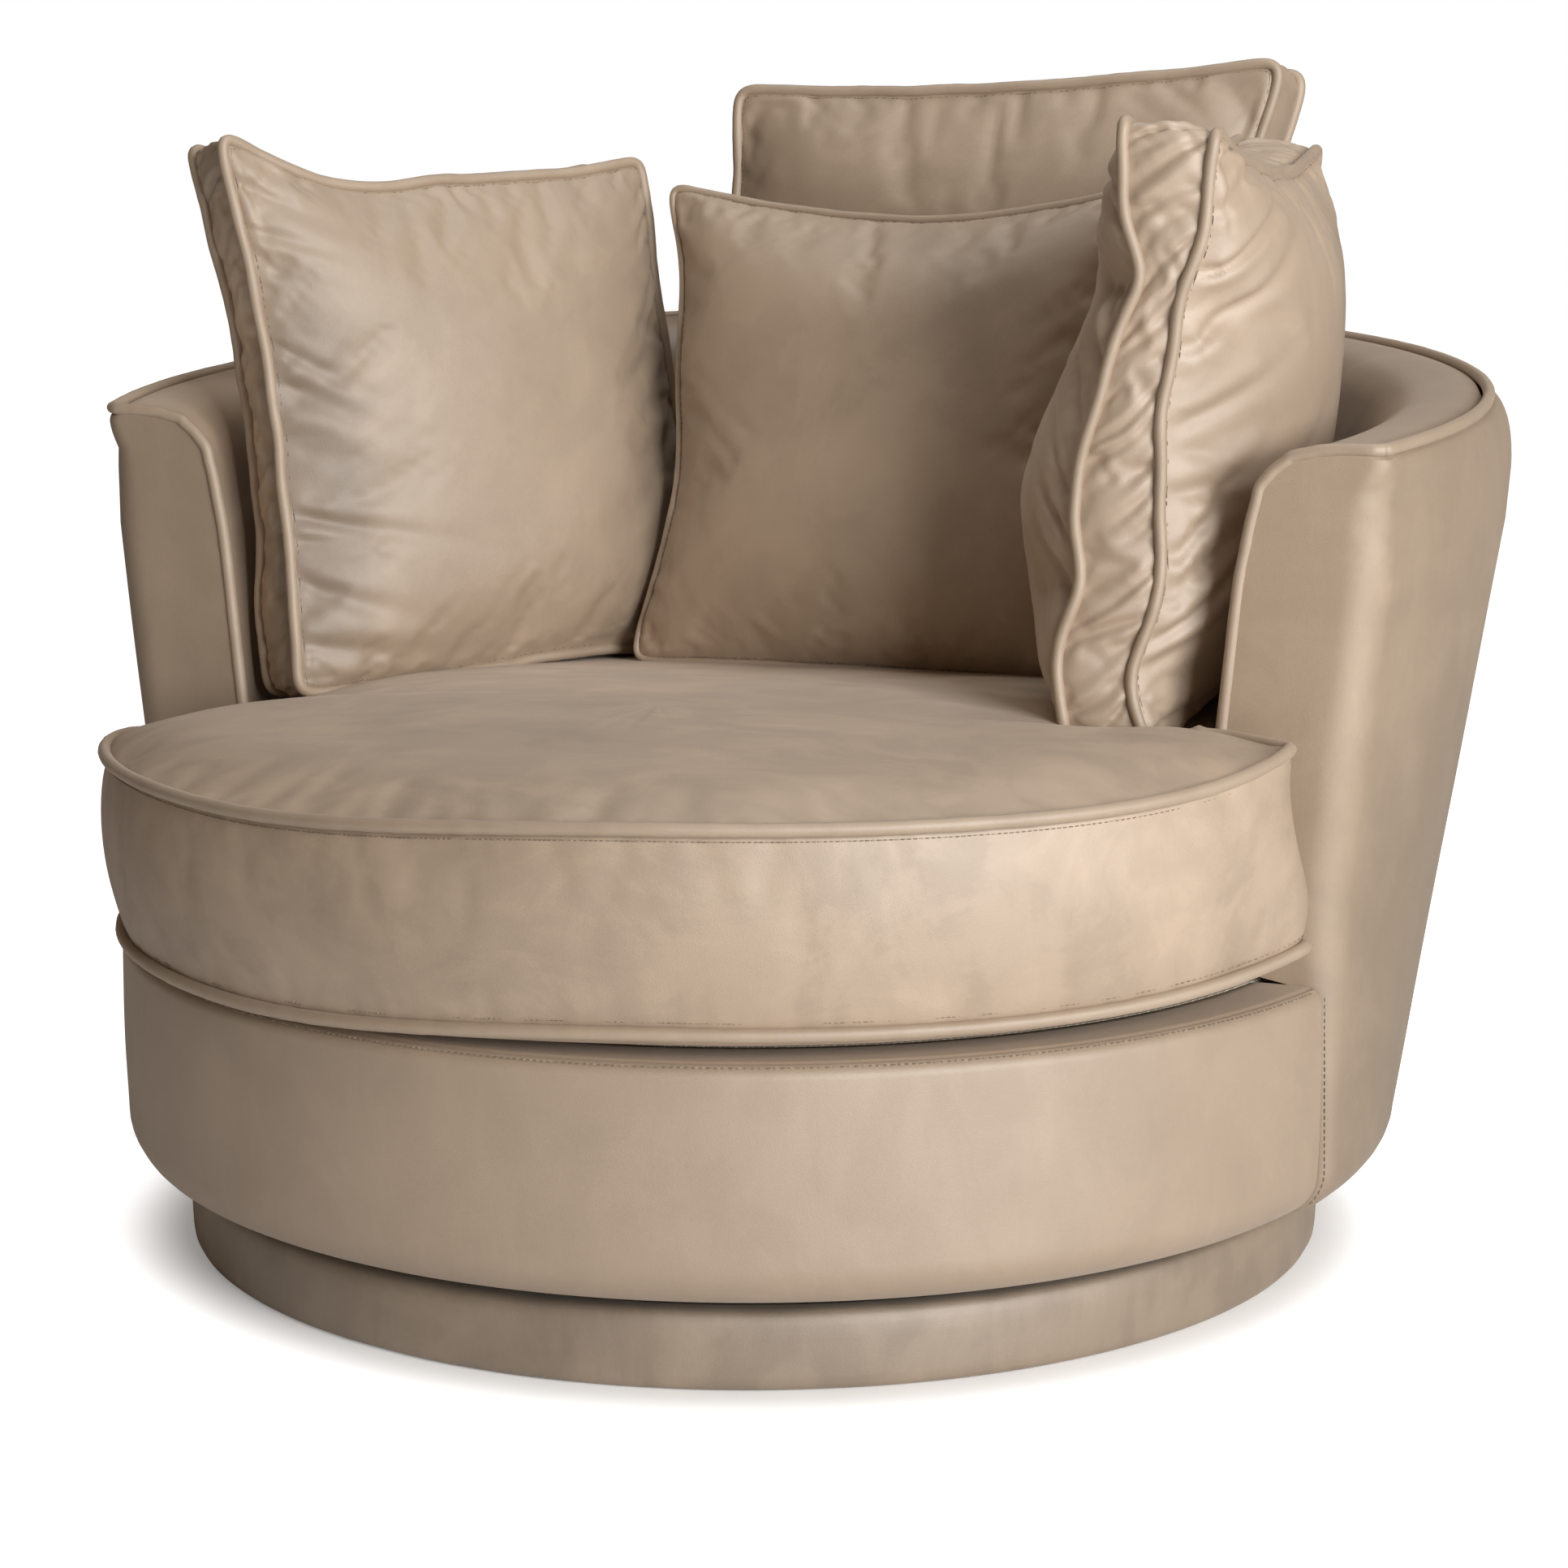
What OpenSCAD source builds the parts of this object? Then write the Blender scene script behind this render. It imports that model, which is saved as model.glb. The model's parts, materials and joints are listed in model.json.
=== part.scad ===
// Round swivel armchair: an upholstered tub on a ball-bearing turntable and a covered
// plinth, with a T-shaped seat cushion, three box cushions and a scatter pillow.
// Millimetres. The origin is the swivel axis on the floor, +Z up, the chair faces -Y.

/* [Plinth] */
// Distance by which the covered plinth is set back from the front border
plinth_in = 50; // [40:1:100]
// Height of the covered plinth
plinth_h = 62; // [56:1:80]
// Thickness of the bent plywood hoop
hoop_t = 18; // [12:1:24]
// Thickness of the fabric and wadding on the plinth
plinth_cover_t = 4; // [3:0.5:6]
// Thickness of the round board inside the hoop
plinth_board_t = 18; // [15:1:22]
// Width of each batten under the plinth board
batten_w = 45; // [30:1:60]

/* [Bearing] */
// Side of the square turntable plates
plate_side = 300; // [260:1:340]
// Thickness of the pressed steel plates
plate_t = 3; // [2:0.5:4]
// Radius of the circle on which the balls run
race_r = 110; // [95:1:115]
// Diameter of the balls
ball_d = 12; // [10:0.5:13]
// Number of balls
ball_n = 24; // [12:1:30]
// Outer diameter of the hollow centre rivet
rivet_d = 34; // [24:1:44]
// Distance from the swivel axis to each fixing bolt along X and Y
bolt_off = 128; // [118:1:134]
// Shank diameter of the fixing bolts
bolt_d = 8; // [6:1:10]

/* [Seat frame] */
// Thickness of the round base board
board_t = 18; // [15:1:22]
// Height of the ring that stiffens the base board
ring_h = 36; // [24:1:50]
// Thickness of the bent front rail
rail_t = 18; // [15:1:22]
// Height of the seat deck, which is the top of the front border
deck_z = 259; // [247:1:282]
// Depth of the padding on the front border
border_t = 25; // [18:1:30]
// Width of each upright post
post_w = 60; // [45:1:70]
// Number of seat springs
spring_n = 4; // [2:1:4]
// Wire diameter of the seat springs
wire_d = 4; // [3.2:0.2:4.6]
// Distance between neighbouring bars of a seat spring
spring_pitch = 42; // [38:1:50]

/* [Tub] */
// Widest radius of the tub, just under its rim
tub_r = 599.5; // [590:0.5:606]
// Distance by which the front border lies inside the widest radius
drum_in = 74.5; // [70:0.5:84]
// Distance by which the piping round the rim lies inside the widest radius
rim_in = 20.5; // [17.5:0.5:27.5]
// Distance by which the rim's centre lies behind the swivel axis
tub_lean = 82; // [60:1:95]
// Height of the rim at the back
rim_back_z = 729; // [702:1:760]
// Height of the rim at the arm fronts
rim_front_z = 672; // [652:1:692]
// Thickness of the padded tub wall
wall_t = 125; // [115:1:132]
// Thickness of the padding inside the tub
pad_t = 80; // [72:1:84]
// Thickness of the outer cover
skin_t = 8; // [6:0.5:9]
// Distance of the flat arm fronts in front of the swivel axis
arm_front = 110; // [100:1:125]
// Radius of the rounded vertical edge of each arm front
arm_edge_r = 36; // [24:1:44]
// Radius of the piping
piping_r = 5; // [3.5:0.5:5]

/* [Cushions] */
// Distance by which the seat cushion stands out over the front border
seat_over = 9; // [0:1:20]
// Height of the seat cushion's border at the front
seat_border = 150; // [120:1:165]
// Rise of the seat cushion's crown above its piping
seat_crown = 40; // [30:1:46]
// Lift of the seat cushion's right ear in front of the arm
ear_lift = 24; // [10:1:30]
// Rise of the seat cushion's right half, which leans on the arm
seat_tilt = 16; // [6:1:20]
// Width of the back cushion
back_w = 480; // [450:1:500]
// Height of the back cushion
back_h = 512; // [470:1:550]
// Width of the two side cushions
side_w = 422; // [404:1:430]
// Height of the two side cushions
side_h = 455; // [420:1:470]
// Width of the box cushions' gussets
gusset = 68; // [60:1:74]
// Rise of each face of a box cushion
crown = 44; // [30:1:50]
// Width of the scatter pillow
pillow_w = 438; // [400:1:445]
// Height of the scatter pillow
pillow_h = 425; // [380:1:435]
// Thickness of the scatter pillow at its middle
pillow_t = 130; // [100:1:135]

/* [Hidden] */

// General clearances
gap = 0.3;
$fn = 96;

// Colours
velvet = "#bfae97";
velvet_light = "#c9b9a2";
velvet_dark = "#a8977f";
birch = "#d8bc8c";
pine = "#e0c79a";
steel = "#9aa0a4";
zinc = "#c3c7c9";
black_cloth = "#2b2b2c";
foam = "#e9e2cf";

// Heights of the stack from the plinth board to the base board
plinth_board_z = plinth_h - plinth_cover_t;
race_lift = 1.2;
race_w = ball_d * 0.62;
ball_z = plinth_board_z + plate_t + race_lift + gap + ball_d / 2;
plate_top_z = ball_z + ball_d / 2 + gap + race_lift + plate_t;
under_z = plate_top_z - 3;
board_z = plate_top_z;
ring_z = board_z + board_t;
post_z = ring_z + ring_h;
cage_t = 2;
strap_t = 1.6;
strap_gap = 1.6;
rivet_bore = rivet_d - 8;
board_bore = rivet_d + 26;
board_sink = 6;
bolt_hole = bolt_d + 0.4;
batten_z = plinth_cover_t + 2;
bolt_sink = 14;
head_h = 5;
nut_h = 3;

// Radii of the front border, the plinth, the rim's piping and the seat cushion's front
drum_r = tub_r - drum_in;
plinth_r = drum_r - plinth_in;
rim_r = tub_r - rim_in;
seat_r = drum_r + seat_over;

// Half-size of the blocks that cut pieces off, larger than the chair
far = 800;

// Radii of the wooden parts inside the covers
board_r = drum_r - border_t - 3 * gap;
ring_back_r = tub_r - 80;
ring_in_r = drum_r - 55;
ring_parts = 8;
deck_t = 5;
rail_top_z = deck_z - deck_t - 8;
seat_rail_h = 36;
seat_rail_r = tub_r - wall_t - 1.5;

// Shape of the tub, with heights measured down from the rim
foot_round = 40;
foot_z = under_z + foot_round;
foot_r = tub_r - 64.1;
wide_drop = 59;
shoulder_drop = 100;
lean_z = rim_front_z;
cover_top_drop = piping_r + 1.8;
rim_slope = (rim_back_z - rim_front_z) / (rim_r + tub_lean + arm_front);
rim_mid_z = rim_back_z - rim_slope * rim_r;
rim_tilt = atan(rim_slope);
thin_t = 5;
// How far the flats of the faceted covers lie inside their true arcs
arc_n = 14;
facet_gap = tub_r * (1 - cos(54 / arc_n));

// Height of the rim above a point of its plan
function rim_z(y) = rim_mid_z + rim_slope * (y - tub_lean);
// Centre of the tub's plan at a height
function tub_y(z) = tub_lean * (min(z, lean_z) - under_z - 15) / (lean_z - under_z - 15);
function blend(a, b, f) = a + (b - a) * f;
function clamp(v, low, high) = max(low, min(high, v));
// Value of a table of [key, value] rows
function table(v, rows, i = 0) =
    v <= rows[i][0] || i == len(rows) - 1 ? rows[i][1]
    : v <= rows[i + 1][0]
        ? blend(rows[i][1], rows[i + 1][1], (v - rows[i][0]) / (rows[i + 1][0] - rows[i][0]))
    : table(v, rows, i + 1);

// Outer radius of the tub at a height, under a rim of height top
function tub_radius(z, top) =
    z < foot_z ? foot_r - foot_round + sqrt(max(0, pow(foot_round, 2) - pow(foot_z - z, 2)))
    : z < top - shoulder_drop
        ? blend(foot_r, tub_r - 2, (z - foot_z) / (top - shoulder_drop - foot_z))
    : z < top - wide_drop
        ? blend(tub_r - 2, tub_r, (z - top + shoulder_drop) / (shoulder_drop - wide_drop))
    : rim_r + 4 + (tub_r - rim_r - 4)
        * sqrt(max(0, 1 - pow((z - top + wide_drop) / (wide_drop - cover_top_drop), 2)));

// How far the cover is drawn in at the arm fronts, compared with the full round
function front_draw(z, top) = front_in * clamp((z - foot_z) / 220, 0, 1)
    * clamp((top - z) / wide_drop, 0, 1);
front_in = 22;
function front_radius(z, top) = tub_radius(z, top) - front_draw(z, top);

// Inner surface of the tub: how far it lies inside the widest radius, by depth below the rim
hook = [[-95, wall_t], [-55, wall_t - 9], [-30, wall_t - 16], [-18, wall_t - 25],
    [-6, wall_t - 40], [0, wall_t - 65], [2, 34],
    [2.5, tub_r - rim_r + piping_r + 2.2]];
function inner_radius(z, top) =
    z < top - 95
        ? tub_radius(z, top) - wall_t + 0.6 * (z - deck_z) / (top - 95 - deck_z)
    : tub_r - table(z - top, hook);

// Radius of the arm front's rounded edge at a height
function edge_round(z, top) =
    z < deck_z + 60 ? blend(skin_t + 1.5, arm_edge_r, (z - under_z) / (deck_z + 60 - under_z))
    : z < top - wide_drop ? arm_edge_r
    : blend(arm_edge_r, 14, (z - top + wide_drop) / wide_drop);

// Inner end of the arm front panel at a height
panel_end_low = drum_r - 34;
function panel_end(z, top) =
    z < deck_z + 1 ? panel_end_low
    : sqrt(pow(inner_radius(z + piping_r + 2.2, top), 2) - pow(arm_front - 5 + tub_y(z), 2))
        + piping_r + 2.2;

// Solid between two grids of points, closed on all four edges
module sheet_solid(a, b) {
    n = len(a);
    m = len(a[0]);
    all = [for (g = [a, b]) for (row = g) for (p = row) p];
    function ia(i, j) = i * m + j;
    function ib(i, j) = n * m + i * m + j;
    function quad(p, q, r, s) = [[r, q, p], [s, r, p]];
    faces = [
        for (i = [0 : n - 2]) for (j = [0 : m - 2])
            each quad(ia(i, j), ia(i, j + 1), ia(i + 1, j + 1), ia(i + 1, j)),
        for (i = [0 : n - 2]) for (j = [0 : m - 2])
            each quad(ib(i, j), ib(i + 1, j), ib(i + 1, j + 1), ib(i, j + 1)),
        for (i = [0 : n - 2]) each quad(ia(i, 0), ia(i + 1, 0), ib(i + 1, 0), ib(i, 0)),
        for (i = [0 : n - 2])
            each quad(ia(i, m - 1), ib(i, m - 1), ib(i + 1, m - 1), ia(i + 1, m - 1)),
        for (j = [0 : m - 2]) each quad(ia(0, j), ib(0, j), ib(0, j + 1), ia(0, j + 1)),
        for (j = [0 : m - 2])
            each quad(ia(n - 1, j), ia(n - 1, j + 1), ib(n - 1, j + 1), ib(n - 1, j))];
    polyhedron(points = all, faces = faces, convexity = 10);
}

// Solid through closed rings of points, ended by a single point on each side
module ring_solid(rings, first, last) {
    k = len(rings);
    n = len(rings[0]);
    all = [first, for (r = rings) for (p = r) p, last];
    function at(i, j) = 1 + i * n + j % n;
    faces = [
        for (j = [0 : n - 1]) [0, at(0, j + 1), at(0, j)],
        for (i = [0 : k - 2]) for (j = [0 : n - 1])
            each [[at(i, j), at(i, j + 1), at(i + 1, j + 1)],
                [at(i, j), at(i + 1, j + 1), at(i + 1, j)]],
        for (j = [0 : n - 1]) [1 + k * n, at(k - 1, j), at(k - 1, j + 1)]];
    polyhedron(points = all, faces = faces, convexity = 6);
}

// Round tube through a line of points; up is never parallel to the line
module tube(line, r, sides, up) {
    n = len(line);
    function unit(v) = v / norm(v);
    function dir(i) = unit(line[min(i + 1, n - 1)] - line[max(i - 1, 0)]);
    rings = [for (i = [0 : n - 1])
        let (t = dir(i), u = unit(cross(t, up)), v = cross(t, u))
            [for (s = [0 : sides - 1])
                line[i] + r * (cos(s * 360 / sides) * u - sin(s * 360 / sides) * v)]];
    ring_solid(rings, line[0], line[n - 1]);
}

// Plinth

module plinth_hoop() {
    color(birch) translate([0, 0, plinth_cover_t]) difference() {
        cylinder(r = plinth_r - plinth_cover_t - gap, h = plinth_board_z - plinth_cover_t - gap);
        translate([0, 0, -1])
            cylinder(r = plinth_r - plinth_cover_t - hoop_t, h = plinth_board_z);
    }
}

module bolt_places(turn) {
    rotate(turn) for (x = [-1, 1], y = [-1, 1]) translate([x * bolt_off, y * bolt_off]) children();
}

module plinth_board() {
    color(pine) translate([0, 0, plinth_board_z - plinth_board_t]) difference() {
        cylinder(r = plinth_r - plinth_cover_t - hoop_t - gap, h = plinth_board_t);
        translate([0, 0, -1]) cylinder(d = board_bore, h = plinth_board_t + 2);
        bolt_places(0) translate([0, 0, -1]) cylinder(d = bolt_hole, h = plinth_board_t + 2);
    }
}

// Battens under the board, in line with the turntable's bolts
module plinth_battens() {
    batten_h = plinth_board_z - plinth_board_t - batten_z;
    reach = sqrt(pow(plinth_r - plinth_cover_t - hoop_t - 1, 2)
        - pow(bolt_off + batten_w / 2, 2));
    color(pine) for (y = [-1, 1]) difference() {
        translate([-reach, y * bolt_off - batten_w / 2, batten_z])
            cube([2 * reach, batten_w, batten_h]);
        for (x = [-1, 1]) translate([x * bolt_off, y * bolt_off, 0]) {
            cylinder(d = bolt_hole, h = plinth_h);
            cylinder(d = 3 * bolt_d, h = batten_z + bolt_sink);
        }
    }
}

// Fabric wrapped over the hoop, turned in at the top and underneath
module plinth_cover() {
    round_r = 7;
    fold = hoop_t + 8;
    color(velvet) rotate_extrude($fn = 128) difference() {
        translate([plinth_r - fold, 0]) {
            square([fold - round_r, plinth_h]);
            translate([0, round_r / 2]) square([fold, plinth_h - 1.5 * round_r]);
            translate([fold - round_r, plinth_h - round_r]) circle(r = round_r);
            translate([fold - round_r, 0]) square([round_r / 2, round_r]);
            translate([fold - round_r / 2, round_r / 2]) circle(r = round_r / 2);
        }
        translate([plinth_r - fold - 1, plinth_cover_t - gap])
            square([fold + 1 - plinth_cover_t, plinth_board_z - plinth_cover_t + gap]);
    }
}

// Turntable

// Square plate with rounded corners, a pressed ball race and a centre bore
module race_plate(bore) {
    corner = 14;
    difference() {
        union() {
            linear_extrude(plate_t) difference() {
                union() {
                    square([plate_side - 2 * corner, plate_side], center = true);
                    square([plate_side, plate_side - 2 * corner], center = true);
                    for (x = [-1, 1], y = [-1, 1])
                        translate([x, y] * (plate_side / 2 - corner)) circle(r = corner);
                }
                circle(d = bore);
                bolt_places(0) circle(d = bolt_hole);
                for (a = [45 : 90 : 315]) rotate(a) translate([60, 0]) circle(d = 26);
            }
            rotate_extrude() translate([race_r - race_w - 3, plate_t - 0.01])
                square([2 * race_w + 6, race_lift + 2.5]);
        }
        translate([0, 0, plate_t + race_lift + ball_d / 2])
            rotate_extrude() translate([race_r, 0]) circle(d = ball_d);
        rotate_extrude() translate([race_r - race_w - 4, plate_t + race_lift + 2])
            square([2 * race_w + 8, 4]);
    }
}

module lower_plate() {
    color(steel) translate([0, 0, plinth_board_z]) race_plate(rivet_d);
}

module upper_plate() {
    color(steel) translate([0, 0, board_z]) mirror([0, 0, 1]) race_plate(rivet_d + 0.6);
}

// Hex-headed bolt with a washer under its head, pointing up
module bolt(length) {
    cylinder(d = 2.2 * bolt_d, h = 1.6);
    translate([0, 0, -head_h]) cylinder(d = 1.8 * bolt_d, h = head_h + 0.01, $fn = 6);
    cylinder(d = bolt_d, h = length);
}

// The plinth's bolts rise through the battens and end in thin nuts on the lower plate
module lower_bolts() {
    head_z = batten_z + bolt_sink;
    color(zinc) bolt_places(0) {
        translate([0, 0, head_z - 1.6 - gap])
            bolt(plinth_board_z + plate_t + nut_h + 2 * gap - head_z + 1.6);
        translate([0, 0, plinth_board_z + plate_t + gap])
            cylinder(d = 1.8 * bolt_d, h = nut_h, $fn = 6);
    }
}

// The seat's bolts drop through the base board and end in thin nuts under the upper plate
module upper_bolts() {
    top = board_z + board_t + gap + 1.6;
    color(zinc) bolt_places(0) {
        translate([0, 0, top]) mirror([0, 0, 1]) bolt(top - board_z + plate_t + nut_h + gap);
        translate([0, 0, board_z - plate_t - gap - nut_h])
            cylinder(d = 1.8 * bolt_d, h = nut_h, $fn = 6);
    }
}

// Hollow rivet, flared over both plates
module centre_rivet() {
    low = plinth_board_z - 3;
    high = board_z + 3;
    color(zinc) difference() {
        union() {
            translate([0, 0, low]) cylinder(d = rivet_d - 2 * gap, h = high - low);
            translate([0, 0, low]) cylinder(d = rivet_d + 14, h = 3 - gap);
            translate([0, 0, board_z + gap]) cylinder(d = rivet_d + 14, h = 3 - gap);
        }
        translate([0, 0, low - 1]) cylinder(d = rivet_bore, h = high - low + 2);
    }
}

module ball_cage() {
    color("goldenrod") difference() {
        translate([0, 0, ball_z - cage_t / 2]) difference() {
            cylinder(r = race_r + ball_d, h = cage_t);
            translate([0, 0, -1]) cylinder(r = race_r - ball_d, h = cage_t + 2);
        }
        for (i = [0 : ball_n - 1]) rotate(i * 360 / ball_n) translate([race_r, 0, ball_z - cage_t])
            cylinder(d = ball_d + 2 * gap, h = 2 * cage_t, $fn = 32);
    }
}

module bearing_balls() {
    color(zinc) for (i = [0 : ball_n - 1]) rotate(i * 360 / ball_n)
        translate([race_r, 0, ball_z]) sphere(d = ball_d, $fn = 32);
}

// Seat frame

// Board with a recess under it that clears the rivet's head
module base_board() {
    color(birch) translate([0, 0, board_z]) difference() {
        cylinder(r = board_r, h = board_t);
        translate([0, 0, -1]) cylinder(d = board_bore, h = board_sink + 1);
        bolt_places(0) translate([0, 0, -1]) cylinder(d = bolt_hole, h = board_t + 2);
    }
}

// Half plane behind the arm fronts
module behind(y) {
    translate([-far, y]) square([2 * far, 2 * far]);
}

// Ring cut from sheets in segments that butt together
module base_ring() {
    color(birch) translate([0, 0, ring_z]) linear_extrude(ring_h, convexity = 4) difference() {
        union() {
            circle(r = board_r);
            intersection() {
                circle(r = ring_back_r);
                behind(skin_t + gap - arm_front);
            }
        }
        circle(r = ring_in_r);
        for (i = [0 : ring_parts / 2 - 1]) rotate(i * 360 / ring_parts)
            translate([-far, -gap / 2]) square([2 * far, gap]);
    }
}

module front_rail() {
    color(birch) translate([0, 0, post_z]) linear_extrude(rail_top_z - post_z, convexity = 4)
        difference() {
            circle(r = board_r);
            circle(r = board_r - rail_t);
            behind(-arm_front);
        }
}

// Plan radius of the faces of the posts at a height
function post_top(a) = rim_z(tub_lean + rim_r * cos(a));
function post_out(z, a) = tub_radius(z, post_top(a)) - skin_t - gap - facet_gap
    - pow(post_w, 2) / 8 / foot_r;
post_depth = wall_t - pad_t - skin_t - 2 * facet_gap - strap_t - strap_gap - 2.4;
post_t = post_depth * cos(16);

// Rail round the back and sides of the seat, fixed inside the posts
module seat_rail() {
    z = rail_top_z - seat_rail_h;
    out_r = post_out(z, 0) - post_depth - gap;
    color(pine) translate([0, tub_y(z), z]) linear_extrude(seat_rail_h, convexity = 4)
        difference() {
            circle(r = out_r);
            circle(r = seat_rail_r);
            translate([0, -tub_y(z)]) mirror([0, 1]) behind(arm_front - 45);
        }
}

// Angles of the posts, from straight back towards the arms
post_angles = [-74, -37, 0, 37, 74];

// Posts lean out with the tub wall, cut level at the base ring and under the top rail
module tub_posts() {
    color(pine) for (a = post_angles) {
        high = post_top(a) - rail_drop - rail_h;
        p0 = [post_out(post_z, a) * sin(a), tub_y(post_z) + post_out(post_z, a) * cos(a)];
        p1 = [post_out(high, a) * sin(a), tub_y(high) + post_out(high, a) * cos(a)];
        run = (p1 - p0) * [sin(a), cos(a)];
        side = (p1 - p0) * [cos(a), -sin(a)];
        rise = high - post_z;
        difference() {
            translate([p0[0], p0[1], post_z]) rotate([0, 0, -a])
                rotate([-atan(run / rise), 0, 0]) rotate([0, atan(side / rise), 0])
                translate([-post_w / 2, -post_t, -60])
                cube([post_w, post_t, rim_back_z]);
            translate([-far, -far, post_z - 200]) cube([2 * far, 2 * far, 200]);
            translate([0, tub_lean, rim_mid_z]) rotate([rim_tilt, 0, 0])
                translate([-far, -far, -rail_drop - rail_h - gap / 3]) cube([2 * far, 2 * far, far]);
        }
    }
}

// Bent top rail, parallel to the rim
rail_drop = 26;
rail_h = 46;
top_rail_out = tub_r - front_in - skin_t - 1.5;
top_rail_t = 14;
module top_rail() {
    color(birch) difference() {
        translate([0, tub_lean, rim_mid_z]) rotate([rim_tilt, 0, 0])
            translate([0, 0, -rail_drop - rail_h]) difference() {
                cylinder(r = top_rail_out, h = rail_h);
                translate([0, 0, -1]) cylinder(r = top_rail_out - top_rail_t, h = rail_h + 2);
            }
        translate([-far, -2 * far + arm_board_y + board_depth + gap, 0]) cube(2 * far);
    }
}

// Plywood profile boards that shape the arm fronts
board_depth = 18;
arm_board_y = skin_t + gap - arm_front;
module arm_board() {
    back = arm_board_y + board_depth;
    top = rim_z(-arm_front);
    function inside(z) = sqrt(pow(inner_radius(z + 8, top), 2) - pow(tub_y(z) - back, 2)) + thin_t + 3;
    function outside(z) = let (e = edge_round(z, top))
        sqrt(pow(front_radius(z, top) - e, 2) - pow(tub_y(z) + arm_front - e, 2)) - 2.5;
    foot = panel_end_low - 8;
    low = deck_z - 9;
    mid = blend(deck_z, top, 0.34);
    zs = [deck_z + 3, blend(deck_z, top, 0.2), blend(deck_z, top, 0.41), blend(deck_z, top, 0.63),
        top - 90, top - 60, top - 40, top - 26];
    profile = [
        [foot, post_z], [outside(post_z), post_z], [outside(low), low], [outside(mid), mid],
        [outside(top - 70), top - 70], [outside(top - 32), top - 32],
        [outside(top - 32) - 12, top - 20], [outside(top - 40) - 34, top - 16],
        for (i = [len(zs) - 1 : -1 : 0]) [inside(zs[i]), zs[i]],
        [foot, deck_z + 3]];
    color(birch) translate([0, back, 0]) rotate([90, 0, 0])
        linear_extrude(board_depth, convexity = 4) polygon(profile);
}

module arm_board_right() {
    arm_board();
}

module arm_board_left() {
    mirror([1, 0, 0]) arm_board();
}

// Half-length of the seat opening to the front and back at a distance from the middle
function seat_front(x) = -sqrt(pow(board_r - rail_t, 2) - x * x);
function seat_back(x) = tub_y(rail_top_z - seat_rail_h) + sqrt(pow(seat_rail_r, 2) - x * x);
clip_t = 1.4;
spring_z = rail_top_z + clip_t + gap + wire_d / 2;
spring_gap = 148;
spring_bar = 34;
// Places of the first and last bar, over the inner edges of the two rails
function spring_start(x) = seat_front(abs(x) + spring_bar / 2) - 6;
function spring_end(x) = seat_back(abs(x) + spring_bar / 2) + 6;
function spring_x(i) = (i - (spring_n - 1) / 2) * spring_gap;

// Zigzag wire spring from the front rail to the seat rail, bent from one wire
module spring(x) {
    start = spring_start(x);
    run = spring_end(x) - start;
    n = round(run / spring_pitch);
    r = run / n / 2;
    function side(i) = i % 2 == 0 ? 1 : -1;
    line = [[-spring_bar / 2, 0, 0],
        for (i = [0 : n - 1]) for (a = [0 : 45 : 180])
            [side(i) * (spring_bar / 2 + r * sin(a)), (2 * i + 1) * r - r * cos(a), 0],
        [-side(n - 1) * spring_bar / 2, run, 0]];
    translate([x, start, spring_z]) tube(line, wire_d / 2, 6, [0, 0, 1]);
}

module seat_springs() {
    color(steel) for (i = [0 : spring_n - 1]) spring(spring_x(i));
}

// Folded clips on the rails, closed round the end bars of the springs
module spring_clips() {
    clip_w = 24;
    clip_l = 11;
    bore = wire_d + 2 * gap;
    color(zinc) for (i = [0 : spring_n - 1]) for (e = [0, 1]) {
        x = spring_x(i);
        translate([x - clip_w / 2, e == 0 ? spring_start(x) : spring_end(x), spring_z])
            rotate([90, 0, 90]) linear_extrude(clip_w) difference() {
                union() {
                    circle(d = bore + 2 * clip_t, $fn = 32);
                    translate([e == 0 ? -clip_l : 0, -bore / 2 - clip_t]) square([clip_l, clip_t]);
                }
                circle(d = bore, $fn = 32);
            }
    }
}

// Layer of felt over the springs, level with the front border
module seat_deck() {
    z = deck_z - deck_t + gap;
    color(foam) translate([0, 0, z]) linear_extrude(deck_z - z) union() {
        circle(r = deck_lip_r - gap);
        intersection() {
            translate([0, tub_y(z)]) circle(r = post_out(z, 0) - post_depth - 2 * gap);
            behind(arm_board_y + board_depth + gap);
        }
    }
}
deck_lip_r = board_r - rail_t - 12;

// Thin black cloth stapled under the base board, round the turntable
module dust_cover() {
    color(black_cloth) translate([0, 0, under_z - gap - 0.8]) difference() {
        cylinder(r = drum_r - foot_side - 2, h = 0.8);
        translate([0, 0, -1]) cylinder(r = plate_side * 0.72, h = 3);
    }
}

// Elastic straps across the posts behind the back padding
module back_webbing() {
    strap_w = 50;
    function strap_line(z, out) = [for (a = [-78 : 6 : 78]) [for (h = [z, z + strap_w])
        let (top = rim_z(tub_lean + rim_r * cos(a)), r = inner_radius(h, top) + pad_t + out)
            [r * sin(a), tub_y(h) + r * cos(a), h]]];
    color(black_cloth) for (f = [0.15, 0.39, 0.63])
        let (z = blend(deck_z, rim_front_z, f))
            sheet_solid(strap_line(z, strap_gap + strap_t), strap_line(z, strap_gap));
}

// Padded border round the front of the seat, between the arms
module front_border() {
    color(velvet) difference() {
        rotate_extrude($fn = 160) difference() {
            translate([deck_lip_r, under_z]) {
                square([border_w - foot_side, border_h]);
                translate([0, foot_side]) square([border_w, border_h - foot_side - border_round]);
                translate([0, foot_side]) square([border_w - border_round, border_h - foot_side]);
                translate([border_w - border_round, border_h - border_round]) circle(r = border_round);
                intersection() {
                    translate([border_w - foot_side, foot_side]) circle(r = foot_side);
                    square([border_w, border_h]);
                }
            }
            translate([deck_lip_r - 1, board_z - gap])
                square([board_r + gap - deck_lip_r + 1, deck_z - deck_t - board_z + 2 * gap]);
        }
        translate([-far, -arm_front - gap, 0]) cube(2 * far);
    }
}
foot_side = 35;
border_round = 9;
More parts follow.
